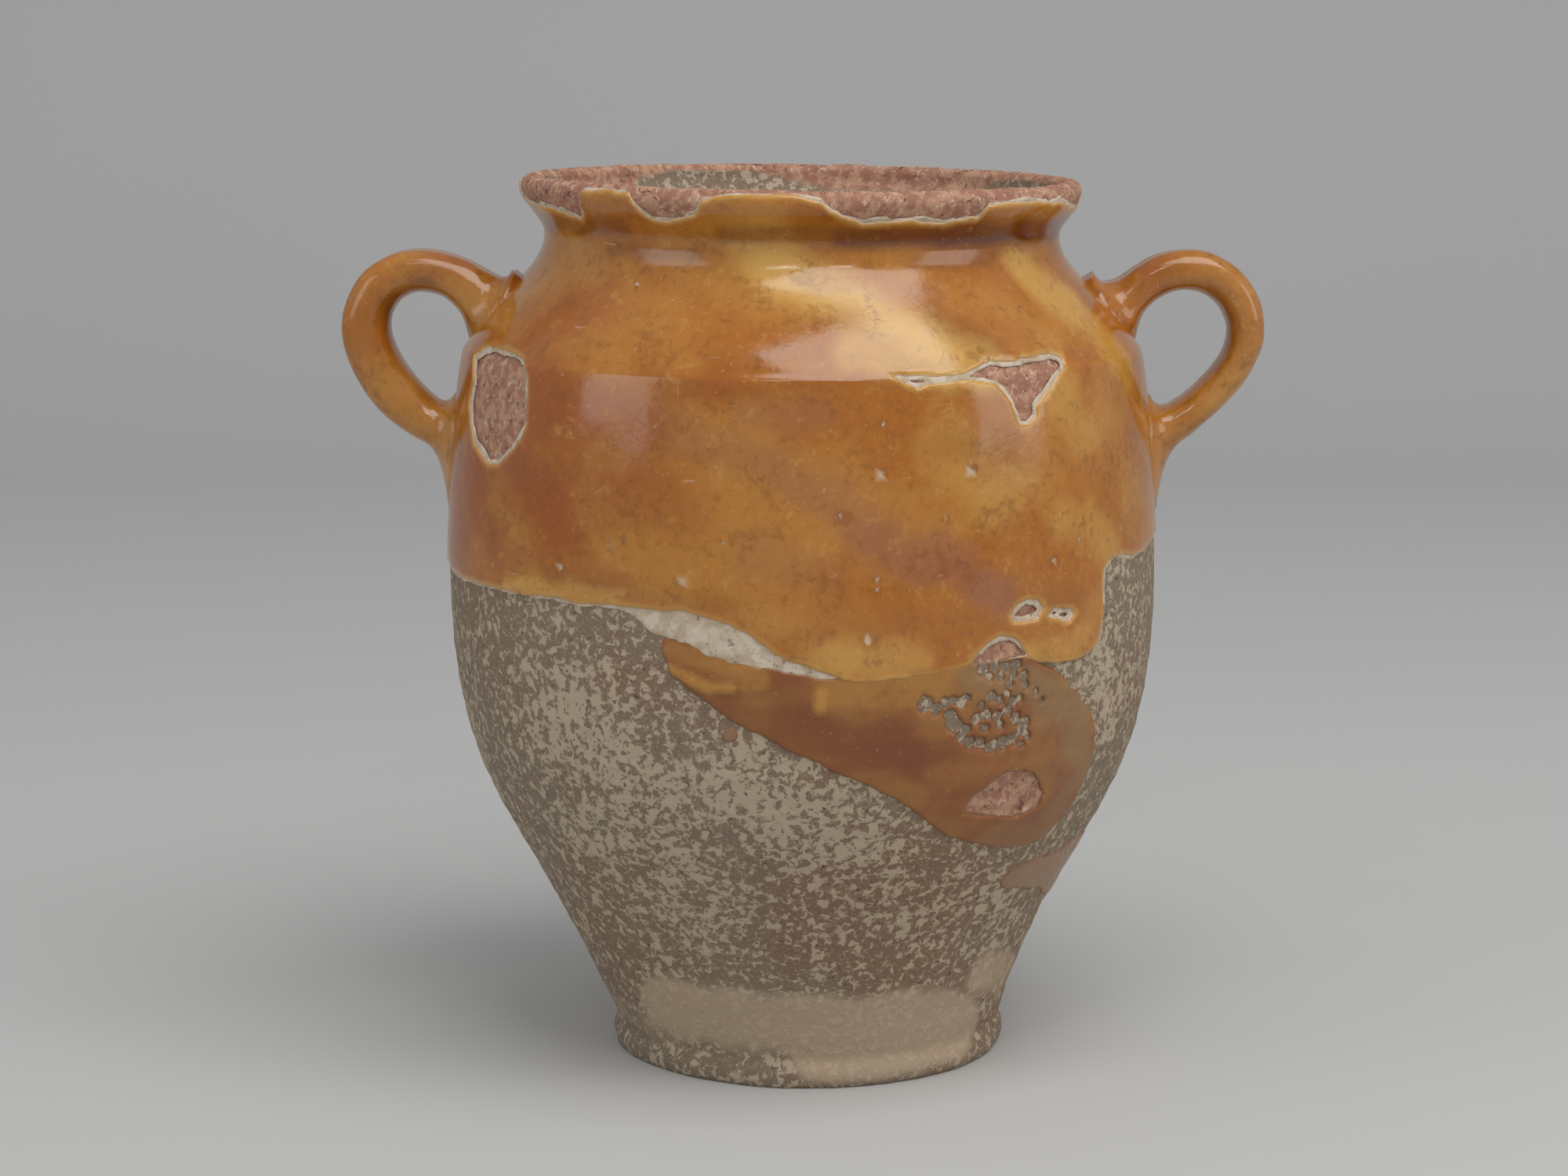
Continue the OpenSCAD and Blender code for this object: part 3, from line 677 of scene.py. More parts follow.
def turned_sheet(heights, sides, from_angle=-180.0, to_angle=180.0):
    """A sheet over the wall at some heights, turned all round or between two angles."""
    sheet = bmesh.new()
    radii = np.interp(heights, wall_z, wall_r)
    start = math.radians(from_angle)
    line = [sheet.verts.new((r * math.sin(start), -r * math.cos(start), z)) for r, z in zip(radii, heights)]
    rows = [sheet.edges.new(pair) for pair in zip(line, line[1:])]
    whole = to_angle - from_angle > 359
    bmesh.ops.spin(sheet, geom=line + rows, cent=(0, 0, 0), axis=(0, 0, 1),
                   angle=math.radians(to_angle - from_angle), steps=sides, use_merge=whole)
    return sheet


def sheet_places(sheet):
    points = np.array([v.co for v in sheet.verts])
    return points, angles_of(points), points[:, 2]


def trimmed(sheet, cover, near, cuts, extra=None):
    """Cuts a sheet along the edge of its coat, with finer faces near it. cover() gives the mm inside."""
    points, angle, z = sheet_places(sheet)
    gap = cover(points, angle, z)
    close = np.abs(gap) < near
    if extra is not None:
        close |= extra(points, angle, z) & (gap > -near)
    sheet.verts.index_update()
    edges = [e for e in sheet.edges if close[e.verts[0].index] and close[e.verts[1].index]]
    bmesh.ops.subdivide_edges(sheet, edges=edges, cuts=cuts, use_grid_fill=True)
    points, angle, z = sheet_places(sheet)
    radii = np.interp(z, wall_z, wall_r)
    gap = cover(points, angle, z)
    layer = sheet.verts.layers.float.new("inside")
    for vert, value, radius, turn in zip(sheet.verts, gap, radii, np.radians(angle)):
        vert[layer] = value
        vert.co.x = radius * math.sin(turn)
        vert.co.y = -radius * math.cos(turn)
    fresh = []
    for edge in [e for e in sheet.edges if e.verts[0][layer] * e.verts[1][layer] < 0]:
        start, end = edge.verts
        share = start[layer] / (start[layer] - end[layer])
        made = bmesh.utils.edge_split(edge, start, min(0.93, max(0.07, share)))[1]
        made[layer] = 0
        fresh.append(made)
    bmesh.ops.connect_verts(sheet, verts=fresh)
    spare = [f for f in sheet.faces if sum(v[layer] for v in f.verts) <= 0]
    bmesh.ops.delete(sheet, geom=spare, context="FACES")
    bmesh.ops.delete(sheet, geom=[v for v in sheet.verts if not v.link_faces], context="VERTS")
    return sheet, layer


def lay_coat(sheet, layer, name, under, over):
    """Gives a trimmed sheet its body, from a height over the clay to one that over() works out."""
    points, angle, z = sheet_places(sheet)
    gap = np.array([v[layer] for v in sheet.verts])
    top = on_wall(angle, z, np.maximum(over(points, angle, z, gap), under + thinnest))
    low = on_wall(angle, z, np.full(len(z), under))
    angle_layer = sheet.verts.layers.float.new("angle")
    rise_layer = sheet.verts.layers.float.new("rise")
    low_layer = sheet.verts.layers.float_vector.new("low")
    for vert, a, h, place in zip(sheet.verts, angle, z, low):
        vert[angle_layer] = a
        vert[rise_layer] = h
        vert[low_layer] = place
    bmesh.ops.recalc_face_normals(sheet, faces=sheet.faces)
    outward = sum((f.normal.dot(f.calc_center_median() - Vector((0, 0, f.calc_center_median().z))))
                  for f in sheet.faces)
    if outward < 0:
        bmesh.ops.reverse_faces(sheet, faces=sheet.faces)
    for vert, place in zip(sheet.verts, top):
        vert.co = place
    first = set(sheet.verts)
    bmesh.ops.solidify(sheet, geom=sheet.faces[:], thickness=thinnest)
    for vert in sheet.verts:
        if vert not in first:
            vert.co = vert[low_layer]
    return settle(sheet, name)


def slip_cover(points, angle, z):
    ragged = 0.45 * cloud(points, 3.4, 31) + 0.25 * cloud(points, 1.4, 32)
    below = inside_gap(round_loop(slip_line, 262), angle, z) + ragged
    border = 0.9 + 0.9 * np.maximum(0, cloud(points, 6, 33)) + 0.35 * cloud(points, 1.8, 34)
    holes = -(chip_gap(glazed_chips, angle, z) - border)
    lip = np.interp(angle, lip_angles, lip_heights) - z
    lip += 0.5 + 1.1 * np.maximum(0, cloud(points, 5, 35)) + 0.5 * cloud(points, 1.9, 36)
    return np.minimum(np.minimum(below, holes), np.minimum(lip, 259.3 - z))


def slip_body(points, angle, z, gap):
    return slip_thickness * (1 - (1 - np.clip(gap / 0.5, 0, 1)) ** 2) + 0.05 * cloud(points, 2.2, 37)


wall_rows = np.concatenate([np.arange(120, 208, 2.6), [208, 209, 209.55, 210.1], np.arange(212, 243, 2.4),
                            np.arange(243.5, 259.4, 0.8)])
slip_sheet, slip_layer = trimmed(turned_sheet(wall_rows, slip_sides), slip_cover, 2.6, 2)
slip = lay_coat(slip_sheet, slip_layer, "white_slip_coat", -0.02, slip_body)


def mix_slip():
    """White slip, matt and a little dirty, with grey pits."""
    material, tree, surface = new_material("white_slip_coat")
    where = add(tree, "ShaderNodeTexCoord").outputs["Object"]
    white = (0.640, 0.545, 0.430, 1)
    cream = (0.500, 0.385, 0.275, 1)
    dirt = (0.190, 0.150, 0.118, 1)
    tone = colour_mix(tree, window(tree, grain(tree, where, 4.5, 4, 0.6, 0.3), 0.38, 0.62), cream, white)
    pits = window(tree, grain(tree, where, 1.6, 3, 0.6, 0.4), 0.40, 0.33, 0, 0.7)
    tree.links.new(colour_mix(tree, pits, tone, dirt), surface.inputs["Base Color"])
    surface.inputs["Roughness"].default_value = 0.85
    surface.inputs["Specular IOR Level"].default_value = 0.3
    bumped(tree, surface, grain(tree, where, 1.5, 4, 0.6), 0.25, 0.8)
    return material


white_slip = mix_slip()
slip.data.materials.append(white_slip)
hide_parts("white_slip", "left_handle_slip", "right_handle_slip")
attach(slip, "root")


# The amber glaze: lead glaze over the slip, glassy and about half a millimetre thick, pooled darker
# under the lip and thin and yellow along its edges. The handles are glazed with the jar.
glaze_thickness = coats
glaze_sides = 300
pinholes = [[9.8, 139.3, 1.3], [12.1, 184.5, 0.8], [26.6, 184.1, 0.8], [-18.3, 154.5, 0.8],
            [-30, 162.5, 0.6], [-39.4, 155.8, 1.0], [47.2, 162.1, 0.6], [41.4, 157.3, 0.7],
            [11.2, 155.7, 0.5], [12.4, 197.5, 0.6], [5.6, 173.8, 0.7], [11.2, 152.9, 0.5],
            [-27.4, 164.3, 0.6], [-12, 166, 0.4], [22, 171, 0.5], [33, 176, 0.5], [-50, 168, 0.5],
            [70, 180, 0.7], [100, 175, 0.8], [130, 190, 0.7], [155, 165, 0.9], [-160, 182, 0.8],
            [-130, 195, 0.7], [-110, 170, 0.8], [-90, 200, 0.6], [172, 225, 0.6], [-35, 232, 0.5]]
blisters = [[13.9, 187.2, 5.5], [25.3, 186.3, 4.5], [40.8, 155, 4.2], [-39.4, 155.8, 2.4]]
glaze_drips = [[4.5, 129.6, 7.3, 127.9, 2.4, 0.5], [7.3, 127.9, 10.7, 126.8, 2.2, 0.6],
               [10.7, 126.8, 16.2, 127.6, 2.2, 0.5], [16.2, 127.6, 20, 128.8, 2.2, 0.35],
               [-60, 147.6, -38, 147.8, 3, 0.25], [40, 129.6, 49, 129.6, 2.4, 0.5]]


def spots(places, angle, z):
    """Distance from each place to the nearest round spot, as a share of that spot's radius."""
    u, v = flat_map(angle, z)
    nearest = np.full(len(u), 99.0)
    for spot_angle, spot_z, radius in places:
        su, sv = flat_map(np.array([spot_angle]), np.array([spot_z]))
        nearest = np.minimum(nearest, np.hypot(u - su, v - sv) / radius)
    return nearest


def glaze_cover(points, angle, z):
    ragged = 0.35 * cloud(points, 4.2, 41) + 0.22 * cloud(points, 1.7, 42)
    below = inside_gap(round_loop(dip_line, 262), angle, z) + ragged
    jagged = 0.30 * cloud(points, 2.6, 43) + 0.16 * cloud(points, 1.1, 44)
    holes = -chip_gap(glazed_chips, angle, z) + jagged
    lip = np.interp(angle, lip_angles, lip_heights) - z + 0.5 * cloud(points, 4, 45) + jagged
    return np.minimum(np.minimum(below, holes), np.minimum(lip, 259.0 - z))


def glaze_body(points, angle, z, gap):
    roll = np.sqrt(1 - (1 - np.clip(gap / 1.0, 0, 1)) ** 2)
    wavy = 0.045 * cloud(points, 11, 46) + 0.03 * cloud(points, 5, 47)
    drips = 0.45 * brushed(glaze_drips, angle, z)
    hole = spots(pinholes, angle, z)
    craters = -0.5 * (1 - eased(hole, 0.5, 1.1)) + 0.10 * np.exp(-((hole - 1.5) / 0.5) ** 2)
    ring = spots(blisters, angle, z)
    rings = 0.07 * np.exp(-((ring - 1) / 0.25) ** 2)
    return slip_thickness * 0.9 + (glaze_thickness - slip_thickness * 0.9) * roll + wavy * roll + (
        drips + craters + rings) * roll


def near_spots(points, angle, z):
    return spots([[a, h, r + 1.4] for a, h, r in pinholes], angle, z) < 1


glaze_rows = np.concatenate([np.arange(121, 208, 2.1), [207.9, 208.6, 209, 209.55, 210.1, 210.8],
                             np.arange(212.4, 243, 2.1), np.arange(243.6, 259.2, 0.9)])
glaze_sheet, glaze_layer = trimmed(turned_sheet(glaze_rows, glaze_sides), glaze_cover, 2.4, 2, near_spots)
glaze = lay_coat(glaze_sheet, glaze_layer, "amber_glaze_coat", slip_thickness * 0.7, glaze_body)

# Where the amber glaze turns yellow, red-brown, mauve or deep orange, as strokes over the wall
yellow_strokes = [[-9, 246, -4, 236, 13, 0.75], [-5, 238, 10, 227, 13, 1.0], [8, 228, 22, 217, 12, 1.0],
                  [20, 219, 30, 211, 10, 1.0], [8, 215, 24, 212, 9, 0.7], [52, 239, 60, 222, 9, 0.8],
                  [60, 222, 66, 205, 8, 0.6], [44, 204, 50, 190, 10, 0.45], [46, 168, 54, 160, 9, 0.5],
                  [-52, 148, -30, 148.6, 3.2, 0.7], [6, 136, 16, 132, 8, 0.5], [40, 133, 50, 134, 6, 0.4],
                  [24, 190, 32, 176, 14, 0.35], [115, 240, 135, 215, 12, 0.9],
                  [-150, 232, -130, 216, 12, 0.7], [165, 190, 178, 176, 14, 0.5]]
red_strokes = [[-16, 248, 10, 247.6, 4.2, 0.55], [8, 247.4, 34, 246.6, 5.4, 0.9],
               [30, 246.8, 62, 247.4, 6.4, 1.0], [60, 247, 86, 247, 6.4, 0.8], [-86, 247, -40, 248, 4.5, 0.5],
               [-44, 241, -22, 240.5, 3, 0.4],
               [24, 238, 44, 240, 4, 0.35], [34, 214, 24, 224, 5, 0.35], [90, 247, 150, 247, 6, 0.9],
               [-150, 247, -90, 247, 5, 0.8], [150, 247, 180, 247, 5, 0.5], [-180, 247, -150, 247, 5, 0.5]]
mauve_strokes = [[-20, 197, -5, 188, 9, 0.45], [-5, 188, 10, 168, 10, 0.6], [10, 168, 24, 157, 10, 0.9],
                 [24, 157, 33, 147, 7, 1.0], [-7, 201, 0, 199, 6, 0.5], [2, 234, 26, 232, 6, 0.35],
                 [-22, 203, -16, 190, 5, 0.4], [-8, 162, 4, 158, 10, 0.35], [-135, 200, -105, 176, 10, 0.8],
                 [120, 185, 148, 170, 10, 0.7]]
deep_strokes = [[-68, 205, -40, 200, 16, 0.8], [-48, 205, -24, 196, 12, 0.7], [-52, 190, -40, 165, 16, 0.9],
                [-66, 180, -56, 158, 12, 0.8], [-40, 180, -20, 176, 16, 0.45], [-60, 218, -40, 226, 12, 0.5],
                [-25, 206, -10, 208, 7, 0.5], [-50, 158, -30, 152, 6, 0.5], [30, 222, 42, 216, 7, 0.35],
                [66, 190, 78, 175, 12, 0.5], [-120, 190, -84, 200, 22, 0.8], [-84, 180, -70, 160, 18, 0.7],
                [90, 195, 110, 180, 20, 0.5], [160, 222, 180, 206, 18, 0.5]]
dirty_strokes = [[-22, 207, 40, 206, 4, 0.4], [-40, 151, -10, 150, 5, 0.5], [34, 150, 48, 143, 8, 0.4],
                 [24, 192, 34, 188, 9, 0.4], [0, 222, 14, 219, 5, 0.35], [-14, 214, 30, 212.5, 3.5, 0.4]]


def tint_glaze(mesh, angle, z):
    """Stores how far each point of a glazed piece leans to each of the glaze's other colours."""
    points = places_of(mesh)
    angle = angle + 3.2 * cloud(points, 15, 51) + 1.4 * cloud(points, 5, 52)
    z = z + 3.0 * cloud(points, 14, 53) + 1.2 * cloud(points, 5, 54)
    for name, strokes in (("yellow", yellow_strokes), ("mauve", mauve_strokes), ("deep", deep_strokes),
                          ("dirty", dirty_strokes)):
        set_values(mesh, name, brushed(strokes, angle, z))


def read_values(mesh, name):
    values = np.zeros(len(mesh.vertices), np.float32)
    mesh.attributes[name].data.foreach_get("value", values)
    return values.astype(float)


glaze_angles, glaze_heights = read_values(glaze.data, "angle"), read_values(glaze.data, "rise")
tint_glaze(glaze.data, glaze_angles, glaze_heights)
set_values(glaze.data, "red", brushed(red_strokes, glaze_angles, glaze_heights
                                      + 0.8 * cloud(places_of(glaze.data), 9, 55)))
set_values(glaze.data, "pinhole", 1 - eased(spots(pinholes, glaze_angles, glaze_heights), 0.55, 0.95))
set_values(glaze.data, "halo", np.exp(-((spots(pinholes, glaze_angles, glaze_heights) - 1.5) / 0.5) ** 2))


def make_glaze_skin():
    """A node group for what every glaze here has: mottling, fine crazing, scratches and dimples."""
    group = bpy.data.node_groups.new("glaze_skin", "ShaderNodeTree")
    group.interface.new_socket(name="Place", in_out="INPUT", socket_type="NodeSocketVector")
    for name in ("Mottle", "Craze", "Scratch", "Dimple", "Specks"):
        group.interface.new_socket(name=name, in_out="OUTPUT", socket_type="NodeSocketFloat")
    start = group.nodes.new("NodeGroupInput")
    end = group.nodes.new("NodeGroupOutput")
    place = start.outputs["Place"]
    fine = grain(group, place, 2.6, 5, 0.68, 0.4)
    broad = grain(group, place, 11, 4, 0.6, 0.3)
    mottle = sums(group, "MULTIPLY_ADD", fine, 0.55, sums(group, "MULTIPLY", broad, 0.45))
    cells = add(group, "ShaderNodeTexVoronoi", {"Vector": place, "Scale": 1000 / 5.0, "Randomness": 1.0},
                feature="DISTANCE_TO_EDGE").outputs["Distance"]
    craze = window(group, cells, 0.0, 0.035, 1, 0)
    craze = sums(group, "MULTIPLY", craze, window(group, grain(group, place, 16, 2), 0.46, 0.62))
    stretched = add(group, "ShaderNodeMapping", {"Vector": place, "Rotation": (0.4, 0.9, 0.2),
                                                 "Scale": (1, 1, 9)}).outputs[0]
    lines = grain(group, stretched, 11, 2, 0.5, 0.3)
    turned = add(group, "ShaderNodeMapping", {"Vector": place, "Rotation": (1.2, -0.5, 0.9),
                                              "Scale": (8, 1, 1)}).outputs[0]
    cross_lines = grain(group, turned, 9, 2, 0.5, 0.3)
    scratch = sums(group, "MAXIMUM", window(group, lines, 0.735, 0.76),
                   window(group, cross_lines, 0.745, 0.77))
    scratch = sums(group, "MULTIPLY", scratch, window(group, grain(group, place, 30, 2), 0.45, 0.6))
    dimple = sums(group, "MULTIPLY_ADD", grain(group, place, 1.5, 3, 0.6), 0.4,
                  sums(group, "MULTIPLY", grain(group, place, 5.5, 3, 0.55), 0.6))
    specks = window(group, grain(group, place, 1.35, 2, 0.5), 0.70, 0.75)
    for name, value in (("Mottle", mottle), ("Craze", craze), ("Scratch", scratch), ("Dimple", dimple),
                        ("Specks", specks)):
        group.links.new(value, end.inputs[name])
    return group


glaze_skin = make_glaze_skin()


def tinted(tree, body, cover, share, colour):
    """A colour laid over another where a mask covers it, at part of its strength."""
    return colour_mix(tree, sums(tree, "MULTIPLY", cover, share), body, colour)


def mix_amber_glaze():
    """Amber lead glaze over white slip."""
    material, tree, surface = new_material("amber_glaze_coat")
    where = add(tree, "ShaderNodeTexCoord").outputs["Object"]
    skin = add(tree, "ShaderNodeGroup", {}, node_tree=glaze_skin)
    tree.links.new(where, skin.inputs["Place"])
    amber = (0.400, 0.128, 0.008, 1)
    ochre = (0.470, 0.190, 0.026, 1)
    deep = (0.330, 0.072, 0.004, 1)
    brown = (0.210, 0.068, 0.008, 1)
    yellow = (0.640, 0.360, 0.080, 1)
    mauve = (0.330, 0.120, 0.055, 1)
    red = (0.125, 0.026, 0.008, 1)
    pale = (0.640, 0.500, 0.360, 1)
    broad = grain(tree, where, 42, 3, 0.5, 0.3)
    body = colour_mix(tree, window(tree, broad, 0.40, 0.62), amber, ochre)
    for name, share, colour in (("deep", 0.9, deep), ("yellow", 0.9, yellow), ("mauve", 0.8, mauve),
                                ("red", 0.92, red)):
        body = tinted(tree, body, stored(tree, name), share, colour)
    body = colour_mix(tree, window(tree, skin.outputs["Mottle"], 0.50, 0.36, 0, 0.5), body, brown)
    body = colour_mix(tree, window(tree, skin.outputs["Mottle"], 0.53, 0.68, 0, 0.4), body, yellow)
    body = tinted(tree, body, stored(tree, "dirty"), 0.45, brown)
    edge = window(tree, stored(tree, "inside"), 2.2, 0.3, 0, 0.55)
    body = colour_mix(tree, edge, body, yellow)
    lip_line = window(tree, stored(tree, "inside"), 0.35, 0.05, 0, 0.6)
    body = colour_mix(tree, lip_line, body, pale)
    body = tinted(tree, body, skin.outputs["Craze"], 0.30, brown)
    body = tinted(tree, body, skin.outputs["Scratch"], 0.35, pale)
    body = tinted(tree, body, skin.outputs["Specks"], 0.30, pale)
    body = tinted(tree, body, stored(tree, "halo"), 0.5, brown)
    body = tinted(tree, body, stored(tree, "pinhole"), 0.95, pale)
    tree.links.new(body, surface.inputs["Base Color"])
    dull = sums(tree, "MAXIMUM", window(tree, skin.outputs["Mottle"], 0.42, 0.62, 0.10, 0.22),
                sums(tree, "MULTIPLY", skin.outputs["Scratch"], 0.6))
    dull = sums(tree, "MAXIMUM", dull, sums(tree, "MULTIPLY", stored(tree, "pinhole"), 0.7))
    tree.links.new(dull, surface.inputs["Roughness"])
    surface.inputs["IOR"].default_value = 1.6
    height = sums(tree, "MULTIPLY_ADD", skin.outputs["Craze"], -0.12,
                  sums(tree, "MULTIPLY_ADD", skin.outputs["Scratch"], -0.12, skin.outputs["Dimple"]))
    bumped(tree, surface, height, 0.10, 0.55)
    return material


amber_glaze = mix_amber_glaze()
glaze.data.materials.append(amber_glaze)
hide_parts("outer_glaze")
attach(glaze, "root")

left_coat = pull_strap("left_handle_coat", -1, left_outer, left_inner, 0.0)
right_coat = pull_strap("right_handle_coat", 1, right_outer, right_inner, 0.0)
for coat, node in ((left_coat, "left_handle_glaze"), (right_coat, "right_handle_glaze")):
    points = places_of(coat.data)
    count = len(points)
    out = np.abs(points[:, 0])
    lift = points[:, 2]
    set_values(coat.data, "inside", np.full(count, 9.0))
    set_values(coat.data, "yellow", 0.5 * np.maximum(0, cloud(points, 17, 61)) + 0.25 * eased(lift, 215, 200))
    set_values(coat.data, "mauve", 0.35 * np.maximum(0, cloud(points, 13, 62)))
    set_values(coat.data, "deep", 0.7 * np.maximum(0, cloud(points, 22, 63)) + 0.5 * eased(out, 112, 100))
    set_values(coat.data, "dirty", 0.6 * np.maximum(0, cloud(points, 7, 64)))
    for name in ("red", "pinhole", "halo"):
        set_values(coat.data, name, np.zeros(count))
    coat.data.materials.append(amber_glaze)
    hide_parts(node)
    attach(coat, "root")


# The glaze inside: the same amber glaze, poured in and swilled round, straight on the bare clay.
# It stops in an uneven line a little below the lip.
inner_sides = 220
inner_lift = 0.5
inner_thickness = 0.3
lip_left_bare = 6


def glaze_inside():
    section = inner_section()[lip_left_bare:]
    coat = bmesh.new()
    radius = np.maximum(section[:, 0] - inner_lift, 0)
    height = np.maximum(section[:, 1], floor_height - 0.3) + np.where(section[:, 1] < 12, 0.6, 0.0)
    line = [coat.verts.new((0, -r, z)) for r, z in zip(radius, height)]
    rows = [coat.edges.new(pair) for pair in zip(line, line[1:])]
    bmesh.ops.spin(coat, geom=line + rows, cent=(0, 0, 0), axis=(0, 0, 1), angle=2 * math.pi,
                   steps=inner_sides, use_merge=True)
    poles = [v for v in coat.verts if math.hypot(v.co.x, v.co.y) < at_the_axis]
    bmesh.ops.remove_doubles(coat, verts=poles, dist=0.02)
    bmesh.ops.subdivide_edges(coat, edges=[e for e in coat.edges if min(v.co.z for v in e.verts) > 236
                                           and abs(e.verts[0].co.z - e.verts[1].co.z) > 0.5], cuts=2)
    bmesh.ops.recalc_face_normals(coat, faces=coat.faces)
    if sum(f.normal.x * f.calc_center_median().x for f in coat.faces) > 0:
        bmesh.ops.reverse_faces(coat, faces=coat.faces)
    points = np.array([v.co for v in coat.verts])
    angle = angles_of(points)
    drift = on_wall(angle, points[:, 2], 0) - on_true_wall(angle, points[:, 2])
    drift[:, 2] = np.where(points[:, 2] < 30, 0, drift[:, 2])
    waver = 0.8 * cloud(points, 14, 71) * eased(points[:, 2], 246, 249)
    for vert, move, up in zip(coat.verts, drift, waver):
        vert.co += Vector(move)
        vert.co.z += up
    bmesh.ops.solidify(coat, geom=coat.faces[:], thickness=inner_thickness)
    return settle(coat, "inner_glaze_coat")


inner = glaze_inside()
inner_points = places_of(inner.data)
tint_glaze(inner.data, angles_of(inner_points) + 60, 400 - inner_points[:, 2])
set_values(inner.data, "inside", np.clip(249.5 - inner_points[:, 2], 0, 9))
for name in ("red", "pinhole", "halo"):
    set_values(inner.data, name, np.zeros(len(inner_points)))
inner.data.materials.append(amber_glaze)
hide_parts("inner_glaze")
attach(inner, "root")


# The brown run and the small splash: glaze that ran down over the bare clay before the firing. With
# no white slip under it, it fired brown, olive where it is thickest, and it crawled and blistered.
run_outline = [[-21.4, 134.8], [-21.2, 137.8], [-19.4, 139.6], [-17, 138], [-14, 136], [-10, 134], [-6, 132],
               [-2, 130.6], [2, 129.4], [5, 129], [8, 132], [20, 134], [28, 135], [35.5, 133.4],
               [38.6, 129.8], [42, 126.6], [45.4, 122.6], [49, 117.4], [52.2, 112.6], [54.6, 107.4],
               [56, 102], [56.4, 96], [55.8, 89], [54.6, 83], [52.4, 78.4], [49, 75.2], [44.6, 73.6],
               [40, 74], [35.4, 75.6], [30.6, 78], [26, 80.8], [22.4, 84.6], [19.6, 88.2], [16.2, 92.4],
               [12.4, 96.6], [9, 99.4], [5.4, 102.2], [2.6, 105.2], [-1, 107.8], [-4, 110.8], [-7, 113.6],
               [-10, 116.2], [-12.6, 119], [-14.8, 122], [-17.4, 126], [-20, 129.4]]
crawl_holes = [[19, 120.6, 2.2], [20.8, 119.2, 1.8], [22.2, 120.6, 1.5], [23.4, 121.4, 1.3],
               [24.8, 120.6, 1.5], [25.8, 121.8, 1.0], [23, 117, 1.9], [24, 114.2, 2.2],
               [26, 112.4, 1.7], [25.2, 110.4, 1.5],
               [27, 109, 1.7], [28.6, 108.2, 1.8], [27.8, 115.4, 1.6], [29.6, 116.2, 1.8], [31.4, 115.4, 1.5],
               [31, 107, 2.0], [33, 107.4, 1.9], [35, 108.4, 1.7], [36.4, 110.2, 1.8], [36.8, 112.6, 1.6],
               [35, 114.2, 1.7], [33.4, 116.8, 1.6], [34.2, 119, 1.5], [29.4, 112.6, 1.3], [32.2, 112.8, 1.2],
               [28.6, 129.4, 1.8], [30.4, 129.8, 1.6], [32.4, 129, 1.5], [34.4, 129.6, 1.6], [34, 126.8, 1.4],
               [31.6, 126.8, 1.3], [36, 126.2, 1.4], [33.4, 124.4, 1.2], [36.4, 123.4, 1.2], [29.6, 127, 1.2],
               [30.2, 121.2, 1.4], [31.8, 120.2, 1.2], [33, 121.8, 1.0], [35.4, 119.6, 1.1], [28.4, 119, 1.1],
               [37.8, 108.6, 1.0], [36.8, 106.4, 0.9], [38.4, 121, 1.0], [40, 118.4, 0.9]]
run_drips = [[-20.4, 130.4, -17.2, 128.4, 2.6, 0.8], [-17.2, 128.4, -13.9, 125.8, 2.6, 1.0],
             [-13.9, 125.8, -10.4, 126.2, 2.2, 0.9], [-10.4, 126.2, -6, 126.8, 2.0, 0.5],
             [2.8, 124.6, 2.8, 121, 2.9, 1.0]]


def run_cover(points, angle, z):
    ragged = 0.42 * cloud(points, 4.6, 81) + 0.26 * cloud(points, 1.8, 82)
    outline = inside_gap(run_outline, angle, z) + ragged
    chips = -inside_gap(oval_chip, angle, z) + 0.35 * cloud(points, 2.4, 83)
    moon = -inside_gap(half_moon, angle, z) + 0.25 * cloud(points, 2.4, 84)
    scale = 1 + 0.35 * cloud(points, 1.6, 85)
    crawled = (spots(crawl_holes, angle, z) - scale) * 1.1
    return np.minimum(np.minimum(outline, chips), np.minimum(moon, crawled))


def run_body(points, angle, z, gap):
    roll = np.sqrt(1 - (1 - np.clip(gap / 1.1, 0, 1)) ** 2)
    swell = 0.75 + 0.10 * cloud(points, 12, 86) + 0.04 * cloud(points, 4, 87)
    drips = 0.65 * brushed(run_drips, angle, z)
    return (swell + drips) * roll * (1 - 0.75 * eased(z, 130, 134))


run_rows = np.arange(70, 143, 1.2)
run_sides = 150
run_sheet, run_layer = trimmed(turned_sheet(run_rows, run_sides, -24, 60), run_cover, 2.4, 1)
run = lay_coat(run_sheet, run_layer, "brown_run_coat", -0.05, run_body)

splash_outline = [[42, 62.4], [45, 66], [52, 67.5], [58, 66.6], [66, 68.5], [76, 67.6], [84, 66], [88, 60],
                  [87, 54], [82, 49.6], [76, 48], [68, 50.4], [62, 54], [56, 56], [50, 58], [45, 59.4]]
splash_sides = 140
drops = [[-10.9, 112.7, 2.2], [64, 74, 1.6]]


def splash_cover(points, angle, z):
    ragged = 0.5 * cloud(points, 4.2, 91) + 0.3 * cloud(points, 1.7, 92)
    drop = (1 - spots(drops, angle, z)) * 2.0 + 0.3 * cloud(points, 1.6, 93)
    return np.maximum(inside_gap(splash_outline, angle, z) + ragged, drop)


def splash_body(points, angle, z, gap):
    return 0.42 * np.sqrt(1 - (1 - np.clip(gap / 0.9, 0, 1)) ** 2) + 0.03 * cloud(points, 4, 94)


splash_rows = np.arange(44, 118, 1.3)
splash_sheet, splash_layer = trimmed(turned_sheet(splash_rows, splash_sides, -16, 92), splash_cover, 2.2, 1)
splash = lay_coat(splash_sheet, splash_layer, "brown_splash_coat", -0.05, splash_body)

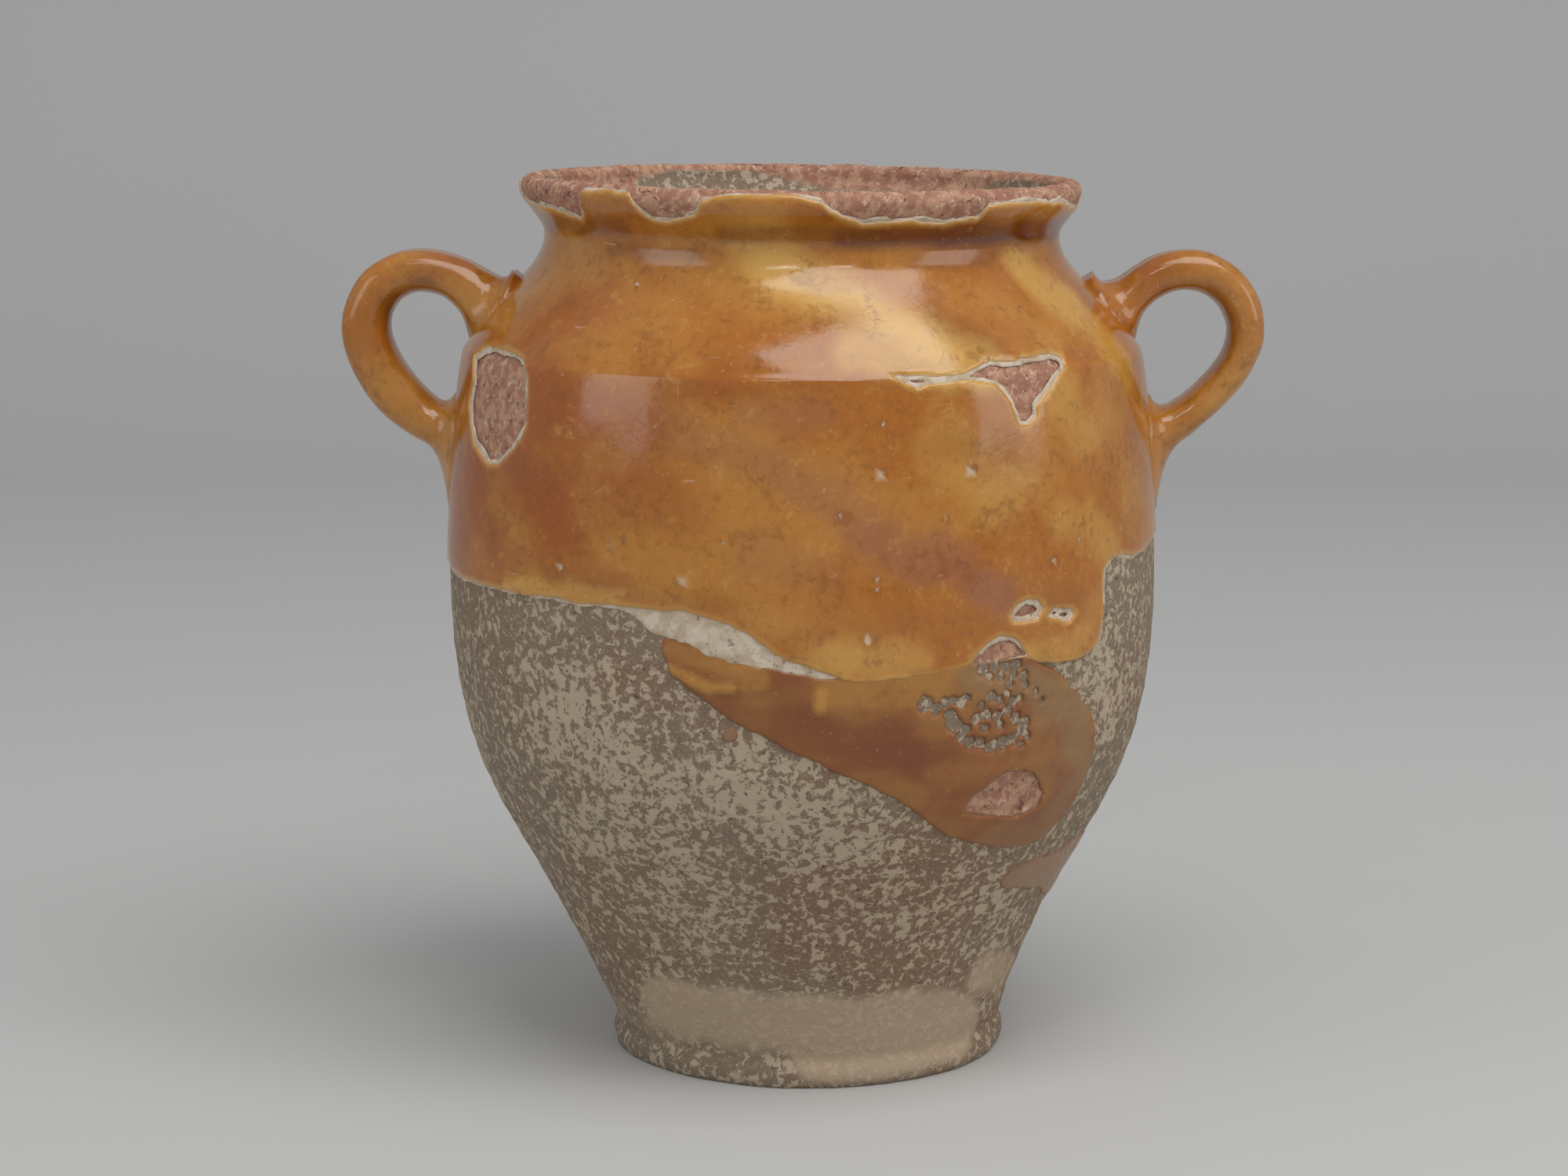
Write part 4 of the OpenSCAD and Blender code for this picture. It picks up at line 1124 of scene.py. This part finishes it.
run_yellow = run_drips + [[-20, 136, -6, 129.5, 4, 0.55], [6, 124, 20, 124, 8, 0.5],
                          [8, 130, 22, 131, 6, 0.6], [22, 100, 34, 103, 7, 0.3]]
run_olive = [[28, 128, 38, 124, 9, 1.0], [38, 122, 48, 112, 11, 1.0], [48, 108, 53, 94, 9, 0.8],
             [52, 90, 48, 79, 7, 0.5], [34, 78, 46, 77, 6, 0.5]]
run_dark = [[-12, 122, 0, 113, 7, 0.4], [0, 118, 14, 106, 8, 0.7], [12, 112, 22, 100, 9, 0.9],
            [20, 104, 36, 104, 6, 0.5], [30, 82, 44, 80, 6, 0.3]]
for coat in (run, splash):
    angle, z = read_values(coat.data, "angle"), read_values(coat.data, "rise")
    points = places_of(coat.data)
    bent = angle + 2.4 * cloud(points, 9, 95)
    lifted = z + 2.0 * cloud(points, 8, 96)
    set_values(coat.data, "yellow", brushed(run_yellow, angle, z))
    set_values(coat.data, "olive", brushed(run_olive, bent, lifted))
    set_values(coat.data, "dark", brushed(run_dark, bent, lifted))
    set_values(coat.data, "thin", np.full(len(z), 1.0 if coat is splash else 0.0))


def mix_brown_glaze():
    """Glaze on bare clay: brown, half matt, with blisters."""
    material, tree, surface = new_material("brown_glaze_coat")
    where = add(tree, "ShaderNodeTexCoord").outputs["Object"]
    skin = add(tree, "ShaderNodeGroup", {}, node_tree=glaze_skin)
    tree.links.new(where, skin.inputs["Place"])
    tan = (0.310, 0.130, 0.030, 1)
    brown = (0.245, 0.082, 0.018, 1)
    red_brown = (0.205, 0.058, 0.018, 1)
    olive = (0.290, 0.165, 0.066, 1)
    gold = (0.480, 0.230, 0.045, 1)
    clay_tone = (0.290, 0.195, 0.120, 1)
    pale = (0.500, 0.380, 0.250, 1)
    body = colour_mix(tree, window(tree, grain(tree, where, 22, 3, 0.5), 0.40, 0.62), brown, tan)
    body = colour_mix(tree, stored(tree, "dark"), body, red_brown)
    body = tinted(tree, body, stored(tree, "olive"), 0.9, olive)
    body = tinted(tree, body, stored(tree, "yellow"), 0.9, gold)
    body = colour_mix(tree, window(tree, skin.outputs["Mottle"], 0.50, 0.36, 0, 0.35), body, red_brown)
    body = colour_mix(tree, window(tree, skin.outputs["Mottle"], 0.54, 0.70, 0, 0.35), body, gold)
    body = tinted(tree, body, stored(tree, "thin"), 0.62, clay_tone)
    body = colour_mix(tree, window(tree, stored(tree, "inside"), 0.7, 0.1, 0, 0.4), body, red_brown)
    body = tinted(tree, body, skin.outputs["Specks"], 0.4, pale)
    tree.links.new(body, surface.inputs["Base Color"])
    tree.links.new(window(tree, skin.outputs["Mottle"], 0.38, 0.62, 0.30, 0.50), surface.inputs["Roughness"])
    surface.inputs["IOR"].default_value = 1.5
    bumped(tree, surface, skin.outputs["Dimple"], 0.25, 0.6)
    return material


brown_glaze = mix_brown_glaze()
for coat, node in ((run, "glaze_run"), (splash, "side_splash")):
    coat.data.materials.append(brown_glaze)
    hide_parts(node)
    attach(coat, "root")
